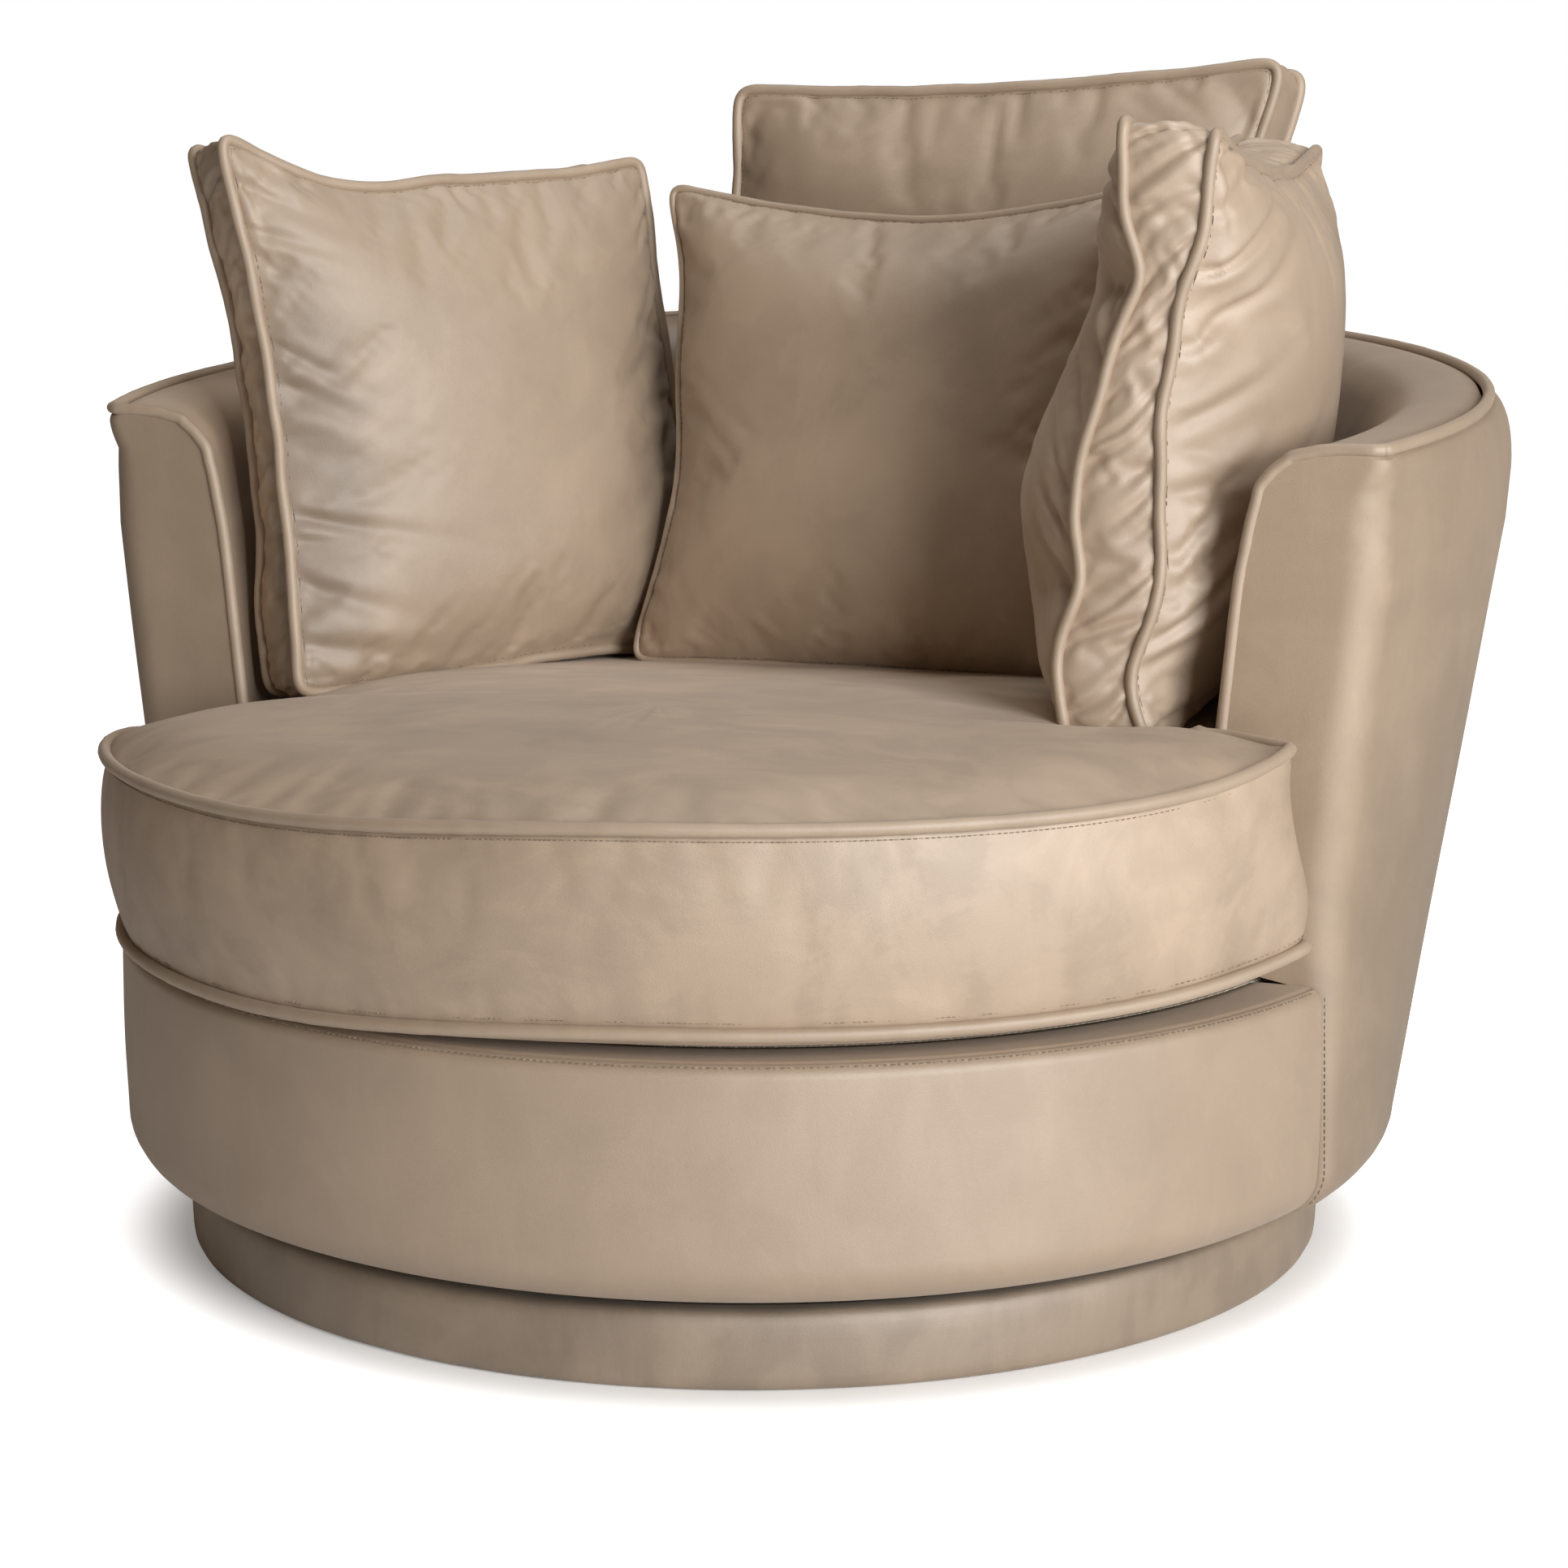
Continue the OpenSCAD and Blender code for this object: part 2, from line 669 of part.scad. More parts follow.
border_w = drum_r - deck_lip_r;
border_h = deck_z - under_z;

// Heights of the cover's rows: 0 is absolute, 1 a share up to the shoulder, 2 below the rim
cover_rows = [[0, under_z + 0.8], [0, under_z + 4], [0, under_z + 12], [0, under_z + 24], [0, foot_z],
    [0, deck_z - 68], [0, deck_z + gap], [0, deck_z + 1.5], [1, 0.35], [1, 0.7], [1, 1], [2, -wide_drop],
    [2, -38], [2, -22], [2, -12], [2, -cover_top_drop]];
function row_z(row, top) =
    row[0] == 0 ? row[1]
    : row[0] == 1 ? deck_z + 1 + row[1] * (top - shoulder_drop - deck_z - 1)
    : top + row[1];

// Point of the cover's plan: [0, f] on the arc, [1, f] on the rounded edge, [2, f] on the arm front
function cover_point(station, side, row, inset) = let (
    f = station[1],
    guess = tub_lean + rim_r * (station[0] == 0 ? cos(f * 106) : cos(108)),
    top = rim_z(max(guess, -arm_front)),
    z = row_z(row, top),
    e = edge_round(z, top),
    r_end = front_radius(z, top),
    y = tub_y(z),
    x_edge = sqrt(pow(r_end - e, 2) - pow(y + arm_front - e, 2)),
    a_edge = 90 + asin((y + arm_front - e) / (r_end - e)),
    a = station[0] == 0 ? f * a_edge : blend(a_edge, 180, f),
    r = tub_radius(z, top) - front_draw(z, top) * pow(clamp((a - 78) / (a_edge - 78), 0, 1), 1.5),
    p = station[0] == 0 ? [(r - inset) * sin(a), y + (r - inset) * cos(a)]
        : station[0] == 1 ? [x_edge + (e - inset) * sin(a), e - arm_front + (e - inset) * cos(a)]
        : [blend(x_edge, min(panel_end(z, top), x_edge - 1), f), inset - arm_front])
    [side * p[0], p[1], z];

cover_stations = [
    [-1, [2, 1]], [-1, [2, 0.5]], [-1, [1, 1]], [-1, [1, 0.66]], [-1, [1, 0.33]],
    for (i = [arc_n : -1 : 1]) [-1, [0, i / arc_n]],
    for (i = [0 : arc_n]) [1, [0, i / arc_n]],
    [1, [1, 0.33]], [1, [1, 0.66]], [1, [1, 1]], [1, [2, 0.5]], [1, [2, 1]]];

module tub_cover() {
    outer = [for (s = cover_stations) [for (row = cover_rows) cover_point(s[1], s[0], row, 0)]];
    inner = [for (s = cover_stations) [for (i = [0 : len(cover_rows) - 1])
        let (lift = i == 0 ? 2.6 : i == 1 ? 1 : 0, row = cover_rows[i])
            cover_point(s[1], s[0], [row[0], row[1] + lift], i == 0 ? skin_t - 2 : skin_t)]];
    color(velvet_light) sheet_solid(outer, inner);
}

// Inner padding: rows up the inside and over the top to the rim, as in the cover's rows
pad_rows = [[0, deck_z + gap], [1, 0.3], [1, 0.6], [1, 1.0], [2, -75], [2, -55], [2, -30], [2, -18],
    [2, -6], [2, 0], [2, 2], [2, 2.5]];
pad_n = 14;

// Surface and back of the padding at a row; depth y is where the end stations lie
function pad_face(row, top) = let (z = row_z(row, top)) [inner_radius(z, top), z];
function pad_back(row, top, thin) = let (
    f = pad_face(row, top),
    d = f[1] - top,
    lip = rim_r - piping_r - 2.2,
    r_back = tub_r - wall_t + pad_t - 6)
    thin ? [min(f[0] + thin_t * (d < -29 ? 1 : d < -5 ? 0.7 : 0), lip),
        f[1] - thin_t * (d < -29 ? 0 : d < -5 ? 0.7 : 1)]
    : d < -31 ? [min(f[0] + pad_t, r_back), f[1]]
    : [blend(r_back, lip, table(d, [[-18, 0], [2.5, 1]])), top + table(d, under_hook)];
under_hook = [[-30, -44], [-18, 5 - rail_drop], [-6, 6 - rail_drop], [0, 7 - rail_drop], [2, -15],
    [2.5, -7]];
function pad_point(rz, f, side, y_end) = let (
    y = tub_y(rz[1]),
    a = f * (90 + asin((y - y_end) / rz[0])))
    [side * rz[0] * sin(a), y + rz[0] * cos(a), rz[1]];

module tub_padding() {
    skin_start = arm_board_y + board_depth + gap;
    body_end = skin_start + 1.2;
    ends = [[1, body_end, false], [1, skin_start, true], [1, arm_board_y, true]];
    stations = [
        for (i = [2 : -1 : 0]) [-1, ends[i]],
        for (i = [pad_n - 1 : -1 : 1]) [-1, [i / pad_n, body_end, false]],
        for (i = [0 : pad_n - 1]) [1, [i / pad_n, body_end, false]],
        for (i = [0 : 2]) [1, ends[i]]];
    function top_at(s) = rim_z(max(tub_lean + rim_r * cos(s[1][0] * 108), -arm_front));
    front = [for (s = stations) [for (row = pad_rows)
        pad_point(pad_face(row, top_at(s)), s[1][0], s[0], s[1][1])]];
    back = [for (s = stations) [for (row = pad_rows)
        pad_point(pad_back(row, top_at(s), s[1][2]), s[1][0], s[0], s[1][1])]];
    color(velvet) sheet_solid(back, front);
}

// Piping up both arm fronts and round the rim in one piece
module rim_piping() {
    top = rim_z(-arm_front);
    y = -arm_front + 2.5;
    rise = [for (f = [0, 0.18, 0.4, 0.63, 0.82]) blend(deck_z + 8, top - 95, f), top - 95, top - 75,
        top - 55, top - 42, top - 30, top - 22, top - 16, top - 10, top - 6, top - 3, top - 1];
    function face(z) = [sqrt(pow(inner_radius(z, top), 2) - pow(tub_y(z) - y, 2)) + 1, y, z - 1];
    arm = [for (z = rise) face(z)];
    last = arm[len(arm) - 1];
    e = 14;
    xc = sqrt(pow(rim_r - e, 2) - pow(tub_lean - y - e, 2));
    a0 = 90 + asin((tub_lean - y - e) / (rim_r - e));
    corner = [for (f = [0, 0.35, 0.7, 1])
        let (a = blend(180, a0, f), q = y + e + e * cos(a))
            [xc + e * sin(a), q, rim_z(max(q, -arm_front)) - 0.5]];
    rim = [for (i = [15 : -1 : 1]) let (a = a0 * i / 16, q = tub_lean + rim_r * cos(a))
        [rim_r * sin(a), q, rim_z(q) - 0.5]];
    half = [each arm, [blend(last[0], xc, 0.5), y, top - 0.6], each corner, each rim];
    n = len(half);
    other = [for (i = [n - 1 : -1 : 0]) [-half[i][0], half[i][1], half[i][2]]];
    line = [each half, [0, tub_lean + rim_r, rim_back_z - 0.5], each other];
    color(velvet_dark) tube(line, piping_r, 6, [0, -1, 1]);
}

// Cushions

// Outline of the T-shaped seat cushion at an angle index, as half of a symmetrical loop
seat_inner_r = tub_radius(deck_z, rim_mid_z) - wall_t - 4;
seat_notch = -arm_front - 8;
seat_mid = [0, -200];

// How far the left ear is drawn in and down
ear_tuck = 9;
// How far the foot of the right ear stands out
ear_foot = 20;
// Points from the middle of the front round the ear and the notch to the middle of the back
ear_y = -arm_front - 70;
function seat_half(r) = let (
    y0 = tub_y(deck_z),
    a_ear = acos(-ear_y / r),
    ear_x = r * sin(a_ear),
    notch_x = sqrt(pow(seat_inner_r, 2) - pow(y0 - seat_notch, 2)),
    a_notch = acos((seat_notch - y0) / seat_inner_r))
    [for (i = [0 : 16]) let (a = a_ear * i / 16.4) [r * sin(a), -r * cos(a)],
        [ear_x - 1, ear_y + 6], [ear_x - 10, ear_y + 13],
        [blend(ear_x, notch_x, 0.55), blend(ear_y + 13, seat_notch, 0.6)],
        [notch_x + 3, seat_notch - 5],
        for (i = [1 : 18]) let (a = blend(a_notch, 0, i / 18))
            [seat_inner_r * sin(a), y0 + seat_inner_r * cos(a)]];
// Share of the ears' shape: none at the front and behind the notch, all at the ear
function ear_share(y) = y > seat_notch - 8 ? 0 : pow(clamp((y + seat_r) / (seat_r + ear_y), 0, 1), 4);
function seat_loop(r) = let (h = seat_half(r), n = len(h))
    [each h, for (i = [n - 2 : -1 : 1]) [ear_tuck * ear_share(h[i][1]) - h[i][0], h[i][1]]];

// The right half leans up and its ear curls up in front of the arm, the left ear curls in and down
function seat_lean(x) = seat_tilt * (1 - cos(180 * clamp(x / 400 + 0.62, 0, 1))) / 2;
function seat_curl(p) = (p[0] > 0 ? ear_lift : -ear_tuck) * ear_share(p[1]);
function edge_lift(p) = seat_lean(p[0]) + seat_curl(p);
function foot_spread(p) = p[0] > 0 ? ear_foot * ear_share(p[1]) : 0;
// Heights of the lower and upper piping and of the crown, s of the way out from the middle
pipe_low = deck_z + gap + 6;
pipe_high = pipe_low + seat_border;
function crown_h(s, y) = pipe_high + seat_crown * pow(1 - pow(s, 2.4), 0.8)
    * blend(1, 0.5, clamp((y + 120) / 330, 0, 1));
function top_h(s, q, p) = crown_h(s, q[1]) + seat_lean(p[0]) * pow(s, 2) + seat_curl(p) * pow(s, 5);
// Height of the crown at a point of its back part, where the loose cushions stand
function seat_top(q) = let (
    d = q - seat_mid,
    u = d / norm(d),
    w = [0, tub_y(deck_z)] - seat_mid,
    reach = u * w + sqrt(pow(u * w, 2) - w * w + pow(seat_inner_r, 2)))
    top_h(norm(d) / reach, q, seat_mid + u * reach);

module seat_cushion() {
    low = deck_z + gap;
    loop = seat_loop(seat_r);
    function top_ring(s) = [for (p = loop)
        let (q = seat_mid + (p - seat_mid) * s) [q[0], q[1], top_h(s, q, p)]];
    function edge_ring(out, h) = [for (p = loop)
        let (d = p - seat_mid, q = p + out * d / norm(d)) [q[0], q[1], h + edge_lift(p)]];
    function foot_ring(out, h, spread = 1) = [for (p = loop)
        let (d = p - seat_mid, q = p + (out + spread * foot_spread(p)) * d / norm(d))
            [q[0], q[1], h + max(0, edge_lift(p))]];
    function low_ring(s, h) = [for (p = loop)
        let (q = seat_mid + (p - seat_mid) * s) [q[0], q[1], h + max(0, edge_lift(p)) * pow(s, 7)]];
    rings = [
        for (s = [0.25, 0.5, 0.72, 0.87, 0.96]) top_ring(s),
        edge_ring(-3, pipe_high + 3), edge_ring(3, pipe_high + 2), edge_ring(3, pipe_high - 5),
        edge_ring(-2, pipe_high - 7), foot_ring(-1, pipe_low + seat_border * 0.5, 0.6),
        foot_ring(-8, pipe_low + 8), foot_ring(-4, pipe_low + 4),
        foot_ring(-5, pipe_low - 3), low_ring(0.97, low + 1), low_ring(0.85, low), low_ring(0.5, low)];
    color(velvet) ring_solid(rings, [seat_mid[0], seat_mid[1], top_h(0, seat_mid, seat_mid)],
        [seat_mid[0], seat_mid[1], low]);
}

// Box cushion in its own plane: width on X, height on Z, front face towards -Y.
// rise and rear are the rises of its two faces, ears draws the corners out, sag lowers the top
// edge's middle, taper narrows the foot and skew pushes the top sideways.
cushion_n = 12;
function square_loop(w, h, ears, sag, taper, skew) = let (n = cushion_n)
    [for (k = [0 : 3]) for (i = [0 : n - 1]) let (
        f = -1 + 2 * i / n,
        g = 1 - pow(abs(f), 2.5),
        e = 1 - ears * g,
        p = k == 0 ? [f, -1 + 0.3 * (1 - e)] : k == 1 ? [e, f] : k == 2 ? [-f, e - sag * g] : [-e, -f])
        [p[0] * w / 2 * (1 - taper * (1 - p[1]) / 2) + skew * p[1] * h / 2, p[1] * h / 2]];

// Share of the crown's rise at a point of the face, s of the way out to the edge
function dome(p, w, h, s) = let (
    a = 1 - pow(min(1, abs(p[0]) * 2 / w), 2.6),
    b = 1 - pow(min(1, abs(p[1]) * 2 / h), 2.6))
    min(1 - pow(s, 8), pow(a * b, 0.55));

module box_cushion(w, h, t, rise, rear, ears, sag, taper, skew) {
    loop = square_loop(w, h, ears, sag, taper, skew);
    function face(s, dir, high) = [for (p = loop)
        [p[0] * s, dir * (t / 2 + high * dome(p * s - [skew * p[1] * s, 0], w, h, s)), p[1] * s]];
    function edge(out, depth) = [for (p = loop) let (u = p / norm(p))
        [p[0] + out * u[0], depth, p[1] + out * u[1]]];
    rings = [
        for (s = [0.3, 0.6, 0.8, 0.93]) face(s, -1, rise),
        edge(-5, -t / 2 - 4), edge(1, -t / 2 - 3), edge(1, -t / 2 + 3), edge(-5, -t / 2 + 6),
        edge(-3, 0),
        edge(-5, t / 2 - 6), edge(1, t / 2 - 3), edge(1, t / 2 + 3), edge(-5, t / 2 + 4),
        for (s = [0.93, 0.8, 0.6, 0.3]) face(s, 1, rear)];
    ring_solid(rings, [0, -t / 2 - rise, 0], [0, t / 2 + rear, 0]);
}

// Pillow with a single piped edge
module knife_pillow(w, h, t, ears, sag) {
    loop = square_loop(w, h, ears, sag, 0, 0);
    function face(s, dir) = [for (p = loop)
        [p[0] * s, dir * (2 + (t / 2 - 2) * dome(p * s, w, h, s)), p[1] * s]];
    function edge(out, depth) = [for (p = loop) let (u = p / norm(p))
        [p[0] + out * u[0], depth, p[1] + out * u[1]]];
    rings = [
        for (s = [0.25, 0.5, 0.7, 0.85, 0.95]) face(s, -1),
        edge(-2, -3), edge(3, 0), edge(-2, 3),
        for (s = [0.95, 0.85, 0.7, 0.5, 0.25]) face(s, 1)];
    ring_solid(rings, [0, -t / 2, 0], [0, t / 2, 0]);
}

// Stands a cushion on the seat: foot is the middle of its lower edge, lift its height over the
// crown there, turn is about Z, tip leans it back and roll tips it in its own plane
module stand(foot, lift, turn, tip, roll, h) {
    translate([foot[0], foot[1], seat_top(foot) + lift]) rotate([0, 0, turn]) rotate([-tip, 0, 0])
        rotate([0, roll, 0]) translate([0, 0, h / 2]) children();
}

// Places in the tub, inside the padding
pad_in = tub_r - wall_t;
side_x = pad_in - 157.5 - (gusset - 68) / 2 - (crown - 44);
pillow_x = side_x - gusset / 2 - crown - pillow_w / 2 + 17;

module back_cushion() {
    color(velvet) stand([106, tub_lean + pad_in - 210.5 - (gusset - 68) / 2 - (crown - 44)], 4.7, 0, 6, -2.5,
        back_h) box_cushion(back_w, back_h, gusset + 14, crown - 12, crown - 12, 0.02, 0.03, 0.25, 0);
}

module left_cushion() {
    color(velvet_light) stand([25 - side_x, tub_lean + 14], -0.6, 63, 6.5, 1, side_h)
        box_cushion(side_w, side_h, gusset, crown, crown, 0.05, 0.06, 0, -0.13);
}

module right_cushion() {
    color(velvet_light) stand([side_x, tub_lean + 5], 6.1, -85, 8, 0, side_h)
        box_cushion(side_w, side_h, gusset, crown, crown + 20, 0.05, 0.05, 0, 0);
}

module scatter_pillow() {
    color(velvet) stand([pillow_x, tub_lean + 76], 1.9, 0, 12, 0, pillow_h)
        knife_pillow(pillow_w, pillow_h, pillow_t, 0.06, 0.04);
}

plinth_hoop();
plinth_board();
plinth_battens();
plinth_cover();
lower_plate();
lower_bolts();
centre_rivet();
ball_cage();
bearing_balls();
upper_plate();
upper_bolts();
base_board();
base_ring();
front_rail();
seat_rail();
tub_posts();
arm_board_left();
arm_board_right();
top_rail();
seat_springs();
spring_clips();
seat_deck();
dust_cover();
back_webbing();
front_border();
tub_padding();
tub_cover();
rim_piping();
seat_cushion();
back_cushion();
left_cushion();
right_cushion();
scatter_pillow();
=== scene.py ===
"""Dresses the round swivel armchair: velvet covers, piping, cushions, frame and bearing."""

import json
import logging
import math
from dataclasses import dataclass, field
from enum import Enum

import bmesh
import bpy
import numpy as np
from mathutils import Matrix, Vector, noise

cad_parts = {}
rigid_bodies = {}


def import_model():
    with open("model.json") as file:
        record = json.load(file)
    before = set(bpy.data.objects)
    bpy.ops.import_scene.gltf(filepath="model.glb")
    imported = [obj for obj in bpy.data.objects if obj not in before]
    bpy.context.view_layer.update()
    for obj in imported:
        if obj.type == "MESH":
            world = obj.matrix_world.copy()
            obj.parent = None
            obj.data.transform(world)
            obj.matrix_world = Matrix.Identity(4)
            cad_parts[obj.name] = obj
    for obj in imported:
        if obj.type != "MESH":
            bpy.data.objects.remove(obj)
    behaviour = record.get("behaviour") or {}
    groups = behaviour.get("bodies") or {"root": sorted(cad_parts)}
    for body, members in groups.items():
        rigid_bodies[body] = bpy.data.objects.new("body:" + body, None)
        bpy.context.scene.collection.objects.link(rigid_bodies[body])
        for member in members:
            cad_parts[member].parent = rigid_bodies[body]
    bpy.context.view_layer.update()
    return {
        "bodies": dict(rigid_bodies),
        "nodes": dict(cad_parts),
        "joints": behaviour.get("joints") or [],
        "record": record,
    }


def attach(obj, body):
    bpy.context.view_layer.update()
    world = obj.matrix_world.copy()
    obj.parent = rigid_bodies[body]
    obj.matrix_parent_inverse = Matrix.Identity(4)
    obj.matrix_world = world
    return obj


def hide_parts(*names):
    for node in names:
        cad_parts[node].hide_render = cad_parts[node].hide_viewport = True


log = logging.getLogger("armchair")
Point = tuple[float, float, float]
Colour = tuple[float, float, float]
Tree = bpy.types.NodeTree
Node = bpy.types.Node
Socket = bpy.types.NodeSocket
Material = bpy.types.Material
Object = bpy.types.Object
Input = Socket | float | tuple[float, ...]

WHITE = (1.0, 1.0, 1.0, 1.0)
FLAT = np.array([1.0, 0.0, 1.0])
# The values between which nearly all of the nap noise lies
NAP_RANGE = (0.34, 0.72)
STITCH_PITCH = 0.0052
STITCH_LENGTH = 0.0034


class Side(Enum):
    """Which side of the chair a mirrored piece belongs to, seen from the front."""

    LEFT = -1
    RIGHT = 1


class Wood(Enum):
    """How a wooden part is made."""

    PLYWOOD = "plywood"
    SOFTWOOD = "softwood"


def clamp(value: float, low: float, high: float) -> float:
    """Returns the value kept between low and high."""
    return max(low, min(high, value))


def blend(start: float, end: float, share: float) -> float:
    """Returns the value that lies share of the way from start to end."""
    return start + (end - start) * share


def shaded(colour: Colour, factor: float) -> Colour:
    """Returns a colour made lighter or darker by a factor."""
    return tuple(min(1.0, c * factor) for c in colour)


def around(radius: float, angle: float, z: float, y: float = 0.0) -> Point:
    """Returns the point at an angle from the back, round a circle whose centre lies at depth y."""
    return radius * math.sin(angle), y + radius * math.cos(angle), z


def before(radius: float, angle: float, z: float) -> Point:
    """Returns the point at an angle from the front, round a circle about the chair's axis."""
    return radius * math.sin(angle), -radius * math.cos(angle), z


def mirrored(points: list[Point]) -> list[Point]:
    """Returns the points' twins on the other side of the chair."""
    return [(-x, y, z) for x, y, z in points]


def unit_rows(rows: np.ndarray) -> np.ndarray:
    """Returns the rows, each made one long."""
    return rows / np.linalg.norm(rows, axis=1)[:, None]


def spline(points: np.ndarray, per_step: int, closed: bool = False) -> np.ndarray:
    """Draws a smooth line through points.

    Args:
        points: The points, one row each.
        per_step: The number of new points for each step between two of them.
        closed: Whether the line runs back to its start.

    Returns:
        The points of the smooth line.
    """
    count = len(points)
    steps = count if closed else count - 1
    out = []
    for i in range(steps):
        if closed:
            a, b, c, d = (points[(i + k) % count] for k in (-1, 0, 1, 2))
        else:
            a, b, c, d = (points[clamp_index(i + k, count)] for k in (-1, 0, 1, 2))
        for j in range(per_step):
            t = j / per_step
            out.append(0.5 * (2 * b + (c - a) * t + (2 * a - 5 * b + 4 * c - d) * t * t
                              + (3 * b - a - 3 * c + d) * t ** 3))
    if not closed:
        out.append(points[-1])
    return np.array(out)


def clamp_index(index: int, count: int) -> int:
    """Returns the index kept inside a list of count items."""
    return max(0, min(count - 1, index))


def even(points: np.ndarray, count: int, closed: bool = False) -> np.ndarray:
    """Spaces points evenly along a line.

    Args:
        points: The line's points.
        count: How many points to return.
        closed: Whether the line runs back to its start.

    Returns:
        That many points at equal distances along it.
    """
    line = np.vstack([points, points[:1]]) if closed else points
    step = np.linalg.norm(np.diff(line, axis=0), axis=1)
    run = np.concatenate([[0.0], np.cumsum(step)])
    at = np.linspace(0.0, run[-1], count + 1)[:-1] if closed else np.linspace(0.0, run[-1], count)
    return np.stack([np.interp(at, run, line[:, k]) for k in range(line.shape[1])], axis=1)


def ripple(p: Point, size: float, seed: float) -> float:
    """Returns smooth noise from -1 to 1 at a point, with waves of about the given size."""
    return noise.noise(Vector((p[0] / size + seed, p[1] / size - seed, p[2] / size + 2.0 * seed)))


def add_mesh(name: str, verts: list[Point] | np.ndarray, faces: list[tuple[int, ...]],
             smooth: bool = True) -> Object:
    """Makes a mesh object in the scene.

    Args:
        name: The object's name.
        verts: The points, in metres in the chair's frame.
        faces: The faces as tuples of point numbers.
        smooth: Whether the faces are shaded smooth.

    Returns:
        The new object.
    """
    mesh = bpy.data.meshes.new(name)
    mesh.from_pydata([tuple(map(float, v)) for v in verts], [], faces)
    mesh.update()
    bm = bmesh.new()
    bm.from_mesh(mesh)
    bmesh.ops.recalc_face_normals(bm, faces=bm.faces)
    bm.to_mesh(mesh)
    bm.free()
    for face in mesh.polygons:
        face.use_smooth = smooth
    obj = bpy.data.objects.new(name, mesh)
    bpy.context.scene.collection.objects.link(obj)
    return obj


def grid_faces(rows: int, cols: int, first: int = 0, closed: bool = False) -> list[tuple[int, ...]]:
    """Lists the four-sided faces of a grid of points.

    Args:
        rows: The number of rows.
        cols: The number of points in a row.
        first: The number of the grid's first point.
        closed: Whether each row runs back to its start.

    Returns:
        The faces.
    """
    out = []
    for i in range(rows - 1):
        for j in range(cols if closed else cols - 1):
            k = (j + 1) % cols
            out.append((first + i * cols + j, first + i * cols + k,
                        first + (i + 1) * cols + k, first + (i + 1) * cols + j))
    return out


def lay_cord(name: str, line: np.ndarray, radius: float, wobble: float, sides: int = 12,
             closed: bool = True) -> Object:
    """Builds a round cord along a line, with its frame carried along so that it never twists.

    Args:
        name: The object's name.
        line: The line's points.
        radius: The cord's radius.
        wobble: Share by which the radius varies, as covered cord does.
        sides: The number of sides.
        closed: Whether the line runs back to its start.

    Returns:
        The cord.
    """
    count = len(line)
    rings = []
    ahead = np.roll(line, -1, axis=0) - np.roll(line, 1, axis=0)
    if not closed:
        ahead[0] = line[1] - line[0]
        ahead[-1] = line[-1] - line[-2]
    ahead = unit_rows(ahead)
    side = np.cross(ahead[0], (0.31, 0.17, 0.93))
    side /= np.linalg.norm(side)
    for i in range(count):
        side = side - ahead[i] * np.dot(side, ahead[i])
        side /= np.linalg.norm(side)
        up = np.cross(ahead[i], side)
        swell = radius * (1.0 + wobble * ripple(tuple(line[i]), 0.013, 3.7))
        for s in range(sides):
            a = 2 * math.pi * s / sides
            rings.append(line[i] + swell * (math.cos(a) * side + math.sin(a) * up))
    faces = grid_faces(count, sides, closed=True)
    if closed:
        last = (count - 1) * sides
        shift = int(np.argmin([np.linalg.norm(rings[last] - rings[s]) for s in range(sides)]))
        faces += [(last + s, last + (s + 1) % sides, (s + 1 + shift) % sides, (s + shift) % sides)
                  for s in range(sides)]
    else:
        faces += [tuple(range(sides)), tuple((count - 1) * sides + s for s in range(sides))]
    return add_mesh(name, rings, faces)


def stitches(name: str, line: np.ndarray, outward: np.ndarray, radius: float = 0.0005) -> Object:
    """Lays a row of stitches along a line.

    Args:
        name: The object's name.
        line: The seam's points.
        outward: The direction out of the cloth at each point.
        radius: The thread's radius.

    Returns:
        One object with all the stitches.
    """
    run = float(np.linalg.norm(np.diff(line, axis=0), axis=1).sum())
    count = max(2, int(run / STITCH_PITCH))
    at = even(np.hstack([line, outward]), count)
    verts: list[np.ndarray] = []
    faces: list[tuple[int, ...]] = []
    for i in range(count - 1):
        p, out = at[i][:3], at[i][3:]
        along = at[i + 1][:3] - p
        along /= np.linalg.norm(along) + 1e-9
        out = out / (np.linalg.norm(out) + 1e-9)
        across = np.cross(along, out)
        first = len(verts)
        for f, r in ((-0.5, 0.35), (-0.3, 1.0), (0.3, 1.0), (0.5, 0.35)):
            for s in range(6):
                a = math.pi * s / 3
                verts.append(p + along * STITCH_LENGTH * f
                             + radius * r * (math.cos(a) * across + math.sin(a) * out))
        faces += grid_faces(4, 6, first, closed=True)
        faces += [tuple(first + s for s in range(6)), tuple(first + 18 + s for s in range(6))]
    return add_mesh(name, verts, faces)


# Finishes


def feed(tree: Tree, node: Node, inputs: dict[str | int, Input]) -> None:
    """Links or sets a node's inputs.

    Args:
        tree: The node tree.
        node: The node.
        inputs: What each input gets: another node's socket to link it to, or a value.
    """
    for socket, value in inputs.items():
        if isinstance(value, Socket):
            tree.links.new(value, node.inputs[socket])
        else:
            node.inputs[socket].default_value = value


def add_node(tree: Tree, kind: str, inputs: dict[str | int, Input],
             **settings: str) -> Node:
    """Adds a shader node.

    Args:
        tree: The node tree.
        kind: The node's type, without the words that all the types' names start with.
        inputs: What each input gets, as in feed.
        settings: The node's own settings.

    Returns:
        The node.
    """
    node = tree.nodes.new("ShaderNode" + kind)
    for name, value in settings.items():
        setattr(node, name, value)
    feed(tree, node, inputs)
    return node


def new_material(name: str) -> tuple[Material, Tree, Node]:
    """Makes an empty material.

    Args:
        name: The material's name.

    Returns:
        The material, its node tree and its surface shader.
    """
    material = bpy.data.materials.new(name)
    material.use_nodes = True
    tree = material.node_tree
    tree.nodes.clear()
    shader = add_node(tree, "BsdfPrincipled", {})
    add_node(tree, "OutputMaterial", {0: shader.outputs[0]})
    return material, tree, shader


